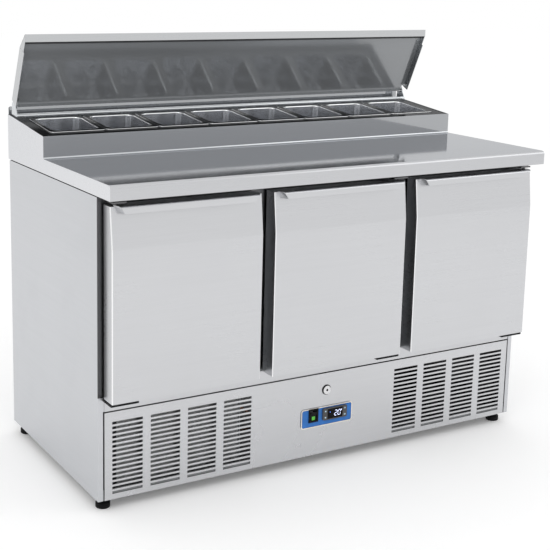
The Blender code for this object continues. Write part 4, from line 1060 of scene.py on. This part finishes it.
# Name, place from the lens's left end and middle, radius and finish of the round marks
DISPLAY_MARKS = (
    ("display_degree", 0.0462, 0.0064, 0.0015, DIGIT_LIGHT),
    ("display_dot", 0.0085, 0.0045, 0.0013, DOT_LIGHT),
)


def display_bar(centre, along, length, face, middle):
    """One bar of a figure on the display, with pointed ends and the figure's lean."""
    x, z = centre
    x += DISPLAY_LEAN * (z - middle)
    across, up = (length, SEGMENT) if along == "X" else (SEGMENT, length)
    half = Vector((across / 2, MARK_DEPTH, up / 2))
    place = Vector((x, face, z))
    bar = block("bar", place - half, place + half)
    ease(bar, SEGMENT_POINT, 1, lambda edge: runs(edge, "Y"))
    if along == "Z":
        for end in (-1, 1):
            edit(bar, "VERT", lambda corner: (corner.co.z - z) * end > length / 4,
                 bpy.ops.transform.translate, value=(DISPLAY_LEAN * end * length / 2, 0, 0))
    return bar


def display_figures():
    """The figures 20 with a degree mark, and the small running light."""
    low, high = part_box("thermostat_lens")
    face = low.y
    middle = (low.z + high.z) / 2
    half = FIGURE_HEIGHT / 2
    bars = []
    for left, lit_bars in FIGURES:
        left += low.x
        right = left + FIGURE_WIDTH
        centre = (left + right) / 2
        places = {
            "a": (centre, middle + half), "g": (centre, middle), "d": (centre, middle - half),
            "b": (right, middle + half / 2), "c": (right, middle - half / 2),
            "e": (left, middle - half / 2), "f": (left, middle + half / 2),
        }
        for key in lit_bars:
            along, length = ("X", BAR_ACROSS) if key in "agd" else ("Z", BAR_UP)
            bars.append(display_bar(places[key], along, length, face, middle))
    settle(joined("display_figures", bars), "cabinet", "black_glass", DIGIT_LIGHT)
    into = Vector((0, MARK_DEPTH, 0))
    for name, x, z, radius, finish in DISPLAY_MARKS:
        place = Vector((low.x + x, face, middle + z))
        mark = rod(name, place + into, place - into, radius, sides=24)
        edit(mark, "FACE", faces_front, bpy.ops.mesh.inset,
             thickness=radius * MARK_EDGE, depth=MARK_DEPTH / 2)
        settle(mark, "cabinet", "black_glass", finish)


ARROW_RADIUS = 0.0022
DASH_HALF = Vector((0.0020, MARK_DEPTH, 0.0006))
DASH_EASE = 0.0005
RING_RADIUS = 0.0019
RING_WIDTH = 0.0007


def button_marks():
    """A plain sign on each button: arrows on the left, a ring and a bar on the right."""
    into = Vector((0, MARK_DEPTH, 0))
    for name in BUTTONS:
        low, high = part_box(f"{name}_button")
        front = (low + high) / 2
        front.y = low.y
        if name.startswith("left"):
            mark = rod(f"{name}_mark", front + into, front - into, ARROW_RADIUS, sides=3)
            turn = Matrix.Rotation(math.pi if name.endswith("lower") else 0, 4, "Y")
            mark.matrix_world = Matrix.Translation(front) @ turn @ Matrix.Translation(-front)
            set_down(mark)
            ease(mark, SMALL_EASE, 2, lambda edge: runs(edge, "Y"))
        elif name.endswith("upper"):
            mark = block(f"{name}_mark", front - DASH_HALF, front + DASH_HALF)
            ease(mark, DASH_EASE, 3, lambda edge: runs(edge, "Y"))
        else:
            mark = rod(f"{name}_mark", front + into, front - into, RING_RADIUS, sides=24)
            open_ring(mark, RING_WIDTH)
        settle(mark, f"{name}_button", "grey_plastic", MARK_LIGHT)


FASCIA_CORNER = 0.008
FASCIA_EDGE = 0.0028
FASCIA_SINK = 0.0005

# Name, distance in from the plate's edge, width, height and finish of the rings on it
FASCIA_RINGS = (
    ("fascia_edge", 0.0, FASCIA_EDGE, 0.0004, FASCIA_CREAM),
    ("fascia_line", FASCIA_EDGE, 0.0012, 0.0002, FASCIA_DARK),
)


def fascia_rings():
    """The cream edge of the blue plate and the darker line inside it."""
    low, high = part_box("control_fascia")
    for name, inset, width, proud, finish in FASCIA_RINGS:
        ring = block(name, low + Vector((inset, -proud, inset)), high - Vector((inset, FASCIA_SINK, inset)))
        ease(ring, FASCIA_CORNER - inset, 8, lambda edge: runs(edge, "Y"))
        open_ring(ring, width)
        settle(ring, "cabinet", "blue_plastic", finish)


ROCKER_FACING = 0.7
LENS_BORDER = 0.0010
LENS_WIDTH = 0.58
LENS_EDGE = 0.0003
LENS_HEIGHT = 0.0005


def rocker_key():
    """The rocker: a black key whose lower half holds a lit green lens."""
    key = from_solid("power_rocker", "rocker_key")
    pivot = Vector(pivots["power_rocker"]["pos_m"])
    key.data.materials.append(BLACK_PLASTIC)
    key.data.materials.append(GREEN_LENS)

    def lower(face):
        return face.normal.y < -ROCKER_FACING and face.calc_center_median().z < pivot.z

    pick(key, "FACE", lower)
    bpy.ops.mesh.inset(thickness=LENS_BORDER)
    bpy.ops.transform.resize(value=(LENS_WIDTH, 1, 1))
    bpy.ops.mesh.inset(thickness=LENS_EDGE, depth=LENS_HEIGHT)
    key.active_material_index = 1
    bpy.ops.object.material_slot_assign()
    close()
    settle(key, "power_rocker", "green_lens", BLACK_PLASTIC, "power_rocker")


# Size of the dark ring that paints the shade round the lock, and of the keyhole's dark disc
SHADE_RING_RADIUS = 0.0145
SHADE_RING_WIDTH = 0.0023
SHADE_RING_HEIGHT = 0.0012
KEYHOLE_RADIUS = 0.0034
KEYHOLE_DEPTH = 0.003
KEYHOLE_EDGE = 0.2 * KEYHOLE_RADIUS
KEYHOLE_EASE = 0.0002


def lock_details():
    """A dark ring round the lock and a dark mouth in its keyhole, both painted shade."""
    low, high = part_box("lock_body")
    x, _, z = (low + high) / 2
    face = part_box("front_grille")[0].y
    # A dark ring round the lock: painted shade.
    shade_ring = rod("lock_shade_ring", (x, face, z), (x, face - SHADE_RING_HEIGHT, z), SHADE_RING_RADIUS, sides=48)
    open_ring(shade_ring, SHADE_RING_WIDTH)
    soft_edges(shade_ring, SMALL_EASE)
    settle(shade_ring, "cabinet", "black_plastic", BLACK_PLASTIC)
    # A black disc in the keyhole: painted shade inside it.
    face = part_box("lock_barrel")[0].y
    keyhole_shade_disc = rod("keyhole_shade", (x, face + KEYHOLE_DEPTH, z), (x, face, z), KEYHOLE_RADIUS)
    edit(keyhole_shade_disc, "FACE", faces_front, bpy.ops.mesh.inset, thickness=KEYHOLE_EDGE, depth=FINE_EASE)
    soft_edges(keyhole_shade_disc, KEYHOLE_EASE)
    settle(keyhole_shade_disc, "lock_barrel", "black_plastic", BLACK_PLASTIC)


# Cold room and machine space

FIN_SHEET = 0.0008
FIN_RIPPLE = 0.3
CORE_WALL = 0.0015
CORE_CORNER = 0.004

# Solid, pitch of its fins, number and radius of its tubes, and their slot and finish
FINNED_CORES = (
    ("condenser", 0.0032, 8, 0.0045, "galvanised_steel", GALVANISED),
    ("evaporator", 0.005, 6, 0.005, "copper", COPPER),
)


def finned_core(node_name, fin_pitch, tubes, tube_radius, tube_slot, tube_finish):
    """A heat exchanger: rippled fins in a row, tubes through them and an end plate on each side."""
    low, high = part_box(node_name)
    quarter = (high.y - low.y) / 4
    left = low.x + CORE_WALL
    fin = block(f"{node_name}_fins", (left, low.y, low.z + CORE_WALL),
                (left + FIN_SHEET, high.y, high.z - CORE_WALL))
    for fold in (1, 2, 3):
        edit(fin, "FACE", whole, bpy.ops.mesh.bisect,
             plane_co=(0, low.y + fold * quarter, 0), plane_no=(0, 1, 0))
    for fold in (1, 3):
        edit(fin, "VERT", lambda corner: abs(corner.co.y - low.y - fold * quarter) < NEAR,
             bpy.ops.transform.translate, value=(fin_pitch * FIN_RIPPLE, 0, 0))
    in_a_row(fin, int((high.x - low.x - 2 * CORE_WALL) / fin_pitch), (fin_pitch, 0, 0))
    settle(fin, "cabinet", "aluminium_fins", FIN_ALUMINIUM, node_name)
    rise = (high.z - low.z) / tubes
    y, z = low.y + 2 * quarter, low.z + rise / 2
    tube = rod(f"{node_name}_tubes", (low.x, y, z), (high.x, y, z), tube_radius, sides=16)
    soft_edges(tube, WIDE_EASE)
    in_a_row(tube, tubes, (0, 0, rise))
    settle(tube, "cabinet", tube_slot, tube_finish)
    for name, x in (("left", low.x), ("right", high.x - CORE_WALL)):
        plate = block(f"{node_name}_{name}_plate", (x, low.y, low.z), (x + CORE_WALL, high.y, high.z))
        ease(plate, CORE_CORNER, 4, lambda edge: runs(edge, "X"))
        settle(plate, "cabinet", "galvanised_steel", GALVANISED)


SHELF_WIRE = 0.0016
SHELF_BAR = 0.9 * SHELF_WIRE
SHELF_RAIL = 0.003
SHELF_CORNER = 0.012
SHELF_WIRES = 14
SHELF_BARS = 3


def wire_shelf(side):
    """A lift-out shelf: a bent rail all round and thin wires across it."""
    low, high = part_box(f"{side}_shelf")
    middle = (low + high) / 2
    inset = Vector((SHELF_RAIL, SHELF_RAIL, 0))
    bpy.ops.object.select_all(action="DESELECT")
    bpy.ops.mesh.primitive_plane_add(size=1, location=middle)
    rail = bpy.context.object
    rail.name = f"{side}_shelf_rail"
    rail.scale = high - low - 2 * inset
    set_down(rail)
    pick(rail, "VERT", whole)
    bpy.ops.mesh.bevel(offset=SHELF_CORNER, segments=5, affect="VERTICES")
    bpy.ops.mesh.delete(type="ONLY_FACE")
    close()
    bpy.ops.object.convert(target="CURVE")
    rail.data.bevel_depth = SHELF_RAIL
    rail.data.bevel_resolution = 3
    bpy.ops.object.convert(target="MESH")
    rail = bpy.context.object
    near, far = low + inset, high - inset
    pitch = (high.x - low.x - 4 * SHELF_RAIL) / (SHELF_WIRES + 1)
    x = near.x + SHELF_RAIL + pitch
    z = middle.z + SHELF_RAIL - SHELF_WIRE
    wire = rod("wire", (x, near.y, z), (x, far.y, z), SHELF_WIRE, sides=12)
    soft_edges(wire, WIDE_EASE)
    in_a_row(wire, SHELF_WIRES, (pitch, 0, 0))
    run = (high.y - low.y) / (SHELF_BARS + 1)
    y, z = low.y + run, middle.z - SHELF_RAIL / 2
    bar = rod("bar", (near.x, y, z), (far.x, y, z), SHELF_BAR, sides=12)
    soft_edges(bar, WIDE_EASE)
    in_a_row(bar, SHELF_BARS, (0, run, 0))
    shelf = joined(f"{side}_wire_shelf", [rail, wire, bar])
    settle(shelf, "cabinet", "chrome", CHROME, f"{side}_shelf")


FOOT_PROFILE = (
    (0.0, 0.0), (0.0175, 0.0), (0.019, 0.0015), (0.019, 0.0095), (0.0178, 0.0105), (0.019, 0.0115),
    (0.019, 0.0130), (0.0180, 0.0145), (0.0140, 0.0172), (0.013, 0.0190), (0.013, 0.0297), (0.0, 0.0297),
)


def feet():
    """Moulded feet with a ringed pad and a neck."""
    places = []
    for foot in [f"{corner}_foot" for corner in CORNERS]:
        low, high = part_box(foot)
        place = Vector(((low.x + high.x) / 2, (low.y + high.y) / 2, low.z))
        places.append((f"{foot}_pad", "cabinet", Matrix.Translation(place), foot))
    set_out(turned("foot", FOOT_PROFILE), places, "black_plastic", BLACK_PLASTIC)


SCREW_PROFILE = ((0, 0.0021), (0.0019, 0.0019), (0.0031, 0.0012), (0.0036, 0), (0, 0))
SCREW_CROWN = 0.0018
SCREW_SOCKET_EDGE = 0.0005
SCREW_SOCKET_DEPTH = 0.0009
SCREW_MARGIN = 0.010


def screws():
    """Round-headed screws with a driver socket, at the fan frame's corners."""
    head = turned("screw", SCREW_PROFILE, steps=20)
    pick(head, "FACE", lambda face: face.calc_center_median().z > SCREW_CROWN)
    bpy.ops.mesh.inset(thickness=SCREW_SOCKET_EDGE, use_even_offset=False)
    bpy.ops.transform.translate(value=(0, 0, -SCREW_SOCKET_DEPTH))
    close()
    low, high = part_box("fan_frame")
    turn = Matrix.Rotation(-math.pi / 2, 4, "X")
    places = []
    for x in (low.x + SCREW_MARGIN, high.x - SCREW_MARGIN):
        for z in (low.z + SCREW_MARGIN, high.z - SCREW_MARGIN):
            name = f"fan_frame_screw_{len(places) + 1}"
            places.append((name, "cabinet", Matrix.Translation((x, high.y, z)) @ turn))
    set_out(head, places, "chrome", CHROME)


POT_RADIUS = 0.085
POT_SEAM_HEIGHT = 0.085
POT_SEAM = ((-0.002, -0.004), (0.0025, -0.003), (0.0032, 0), (0.0025, 0.003), (-0.002, 0.004))
TERMINALS_LOW = Vector((0.030, -0.016, 0.040))
TERMINALS_HIGH = Vector((0.085, 0.030, 0.110))
TERMINALS_ROUND = 0.006
BOLT_INSET = 0.016
BOLT_RADIUS = 0.007
BOLT_HEIGHTS = (0.004, 0.011)


def compressor_details():
    """The weld ring round the compressor's pot, its terminal cover and the bolts on its base."""
    low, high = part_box("compressor")
    x, y = (low.x + high.x) / 2, (low.y + high.y) / 2
    profile = [(POT_RADIUS + out, up) for out, up in POT_SEAM]
    ring = turned("compressor_seam", profile, (x, y, low.z + POT_SEAM_HEIGHT), steps=64)
    settle(ring, "cabinet", "black_paint", BLACK_PAINT)
    pot_front = Vector((x, y - POT_RADIUS, low.z))
    cover = block("compressor_terminals", pot_front + TERMINALS_LOW, pot_front + TERMINALS_HIGH)
    soft_edges(cover, TERMINALS_ROUND, segments=4)
    settle(cover, "cabinet", "black_plastic", BLACK_PLASTIC)
    bolt = rod("bolt", *[(0, 0, height) for height in BOLT_HEIGHTS], BOLT_RADIUS, sides=6)
    soft_edges(bolt, WIDE_EASE)
    places = []
    for y in (low.y + BOLT_INSET, high.y - BOLT_INSET):
        for x in (low.x + BOLT_INSET, high.x - BOLT_INSET):
            name = f"compressor_bolt_{len(places) + 1}"
            places.append((name, "cabinet", Matrix.Translation((x, y, low.z))))
    set_out(bolt, places, "galvanised_steel", GALVANISED)


# Studio

WORLD_LIGHT = 0.95
FLOOR_LIFT = 0.10
FLOOR_SIZE = 40
FLOOR_GAP = 0.0005
FLOOR_COLOUR = (0.95, 0.95, 0.95, 1)
FLOOR_ROUGHNESS = 0.9
WHITE = (1, 1, 1, 1)
LIT_PLACE = Vector((0, 0, 0.6))

# Name, place, size and power
LAMPS = (
    ("key_light", (-2.6, -2.6, 3.4), 2.2, 24.0),
    ("fill_light", (2.8, -2.4, 2.6), 2.4, 12.0),
)


def seen_directly(tree):
    """Rays from the camera, and those that metal and glass send on."""
    path = node(tree, "ShaderNodeLightPath")
    seen = node(tree, "ShaderNodeMath", operation="MAXIMUM")
    seen_through = node(tree, "ShaderNodeMath", operation="MAXIMUM")
    link = tree.links.new
    link(path.outputs["Is Camera Ray"], seen.inputs[0])
    link(path.outputs["Is Glossy Ray"], seen.inputs[1])
    link(seen.outputs[0], seen_through.inputs[0])
    link(path.outputs["Is Transmission Ray"], seen_through.inputs[1])
    return seen_through.outputs[0]


def studio():
    scene = bpy.context.scene
    scene.view_settings.view_transform = "Standard"
    world = bpy.data.worlds.new("studio_world")
    scene.world = world
    world.use_nodes = True
    tree = world.node_tree
    background = tree.nodes["Background"]
    background.inputs["Color"].default_value = WHITE
    tree.links.new(level(tree, seen_directly(tree), WORLD_LIGHT, 1.0), background.inputs["Strength"])
    bpy.ops.object.select_all(action="DESELECT")
    bpy.ops.mesh.primitive_plane_add(size=FLOOR_SIZE, location=(0, 0, -FLOOR_GAP))
    floor = bpy.context.object
    floor.name = "floor"
    material, tree, shader = blank("pale_floor")
    shader.inputs["Base Color"].default_value = FLOOR_COLOUR
    shader.inputs["Roughness"].default_value = FLOOR_ROUGHNESS
    shader.inputs["Specular IOR Level"].default_value = 0.0
    shader.inputs["Emission Color"].default_value = WHITE
    tree.links.new(level(tree, seen_directly(tree), 0.0, FLOOR_LIFT), shader.inputs["Emission Strength"])
    floor.data.materials.append(material)
    for name, place, size, power in LAMPS:
        lamp = bpy.data.lights.new(name, "AREA")
        lamp.shape = "DISK"
        lamp.size = size
        lamp.energy = power
        obj = bpy.data.objects.new(name, lamp)
        scene.collection.objects.link(obj)
        obj.location = place
        obj.rotation_euler = (LIT_PLACE - Vector(place)).to_track_quat("-Z", "Y").to_euler()


def camera():
    scene = bpy.context.scene
    lens = bpy.data.cameras.new("view")
    lens.sensor_width = SENSOR
    lens.lens = FOCAL_PIXELS * SENSOR / IMAGE_SIZE
    lens.shift_x = -SHIFT_PIXELS[0] / IMAGE_SIZE
    lens.shift_y = SHIFT_PIXELS[1] / IMAGE_SIZE
    obj = bpy.data.objects.new("view", lens)
    scene.collection.objects.link(obj)
    turn = Matrix.Rotation(-math.radians(CAMERA_YAW), 4, "Z")
    turn @= Matrix.Rotation(math.radians(90 + CAMERA_PITCH), 4, "X")
    turn @= Matrix.Rotation(math.radians(CAMERA_ROLL), 4, "Z")
    obj.matrix_world = Matrix.Translation(CAMERA_PLACE) @ turn
    scene.camera = obj


# Finish and rounding of the solids that stay
FINISHES = (
    (GRILLE_STEEL, 0, ["front_grille"]),
    (FRAME_STEEL, 0, ["front_frame"]),
    (SIDE_STEEL, SHEET_EASE, ["left_side_panel", "right_side_panel"]),
    (WORKTOP_STEEL, WIDE_EASE, ["worktop"]),
    (LID_STEEL, 0, ["lid_skin"]),
    (RAIL_STEEL, 0, ["lid_hinge_rail"]),
    (LID_PANEL_STEEL, 0, ["lid_inner_panel"]),
    (DECK_STEEL, 0, ["pan_deck"]),
    (MULLION_STEEL, SHEET_EASE, ["left_mullion", "right_mullion"]),
    (LINER_STEEL, 0, ["cold_room_liner"]),
    (GALVANISED, 0, ["back_panel", "fan_frame"]),
    (TRAY_SHEET, 0, ["base_tray"]),
    (FIN_ALUMINIUM, 0, ["fan_blade"]),
    (CHROME, 0, ["lock_body", "lock_barrel"]),
    (BLACK_PLASTIC, SMALL_EASE, ["switch_frame"]),
    (BEZEL_PLASTIC, 0, ["thermostat_housing"]),
    (BUTTON_PLASTIC, SMALL_EASE, [f"{name}_button" for name in BUTTONS]),
    (FASCIA_BLUE, 0, ["control_fascia"]),
    (DISPLAY_BLACK, 0, ["thermostat_lens"]),
    (BLACK_PAINT, 0, [f"{side}_lower_hinge" for side in SIDES] + ["compressor", "fan_motor"]),
    (COPPER, 0, ["discharge_pipe"]),
)

camera()
studio()
for finish, rounding, names in FINISHES:
    for name in names:
        dress(name, finish, rounding)
for side in SIDES:
    door_skin(side)
    door_handle(side)
    door_gasket(side)
    wire_shelf(side)
pans()
worktop_fold()
upstand_ends()
lid_details()
display_figures()
button_marks()
fascia_rings()
rocker_key()
lock_details()
for core in FINNED_CORES:
    finned_core(*core)
feet()
screws()
compressor_details()
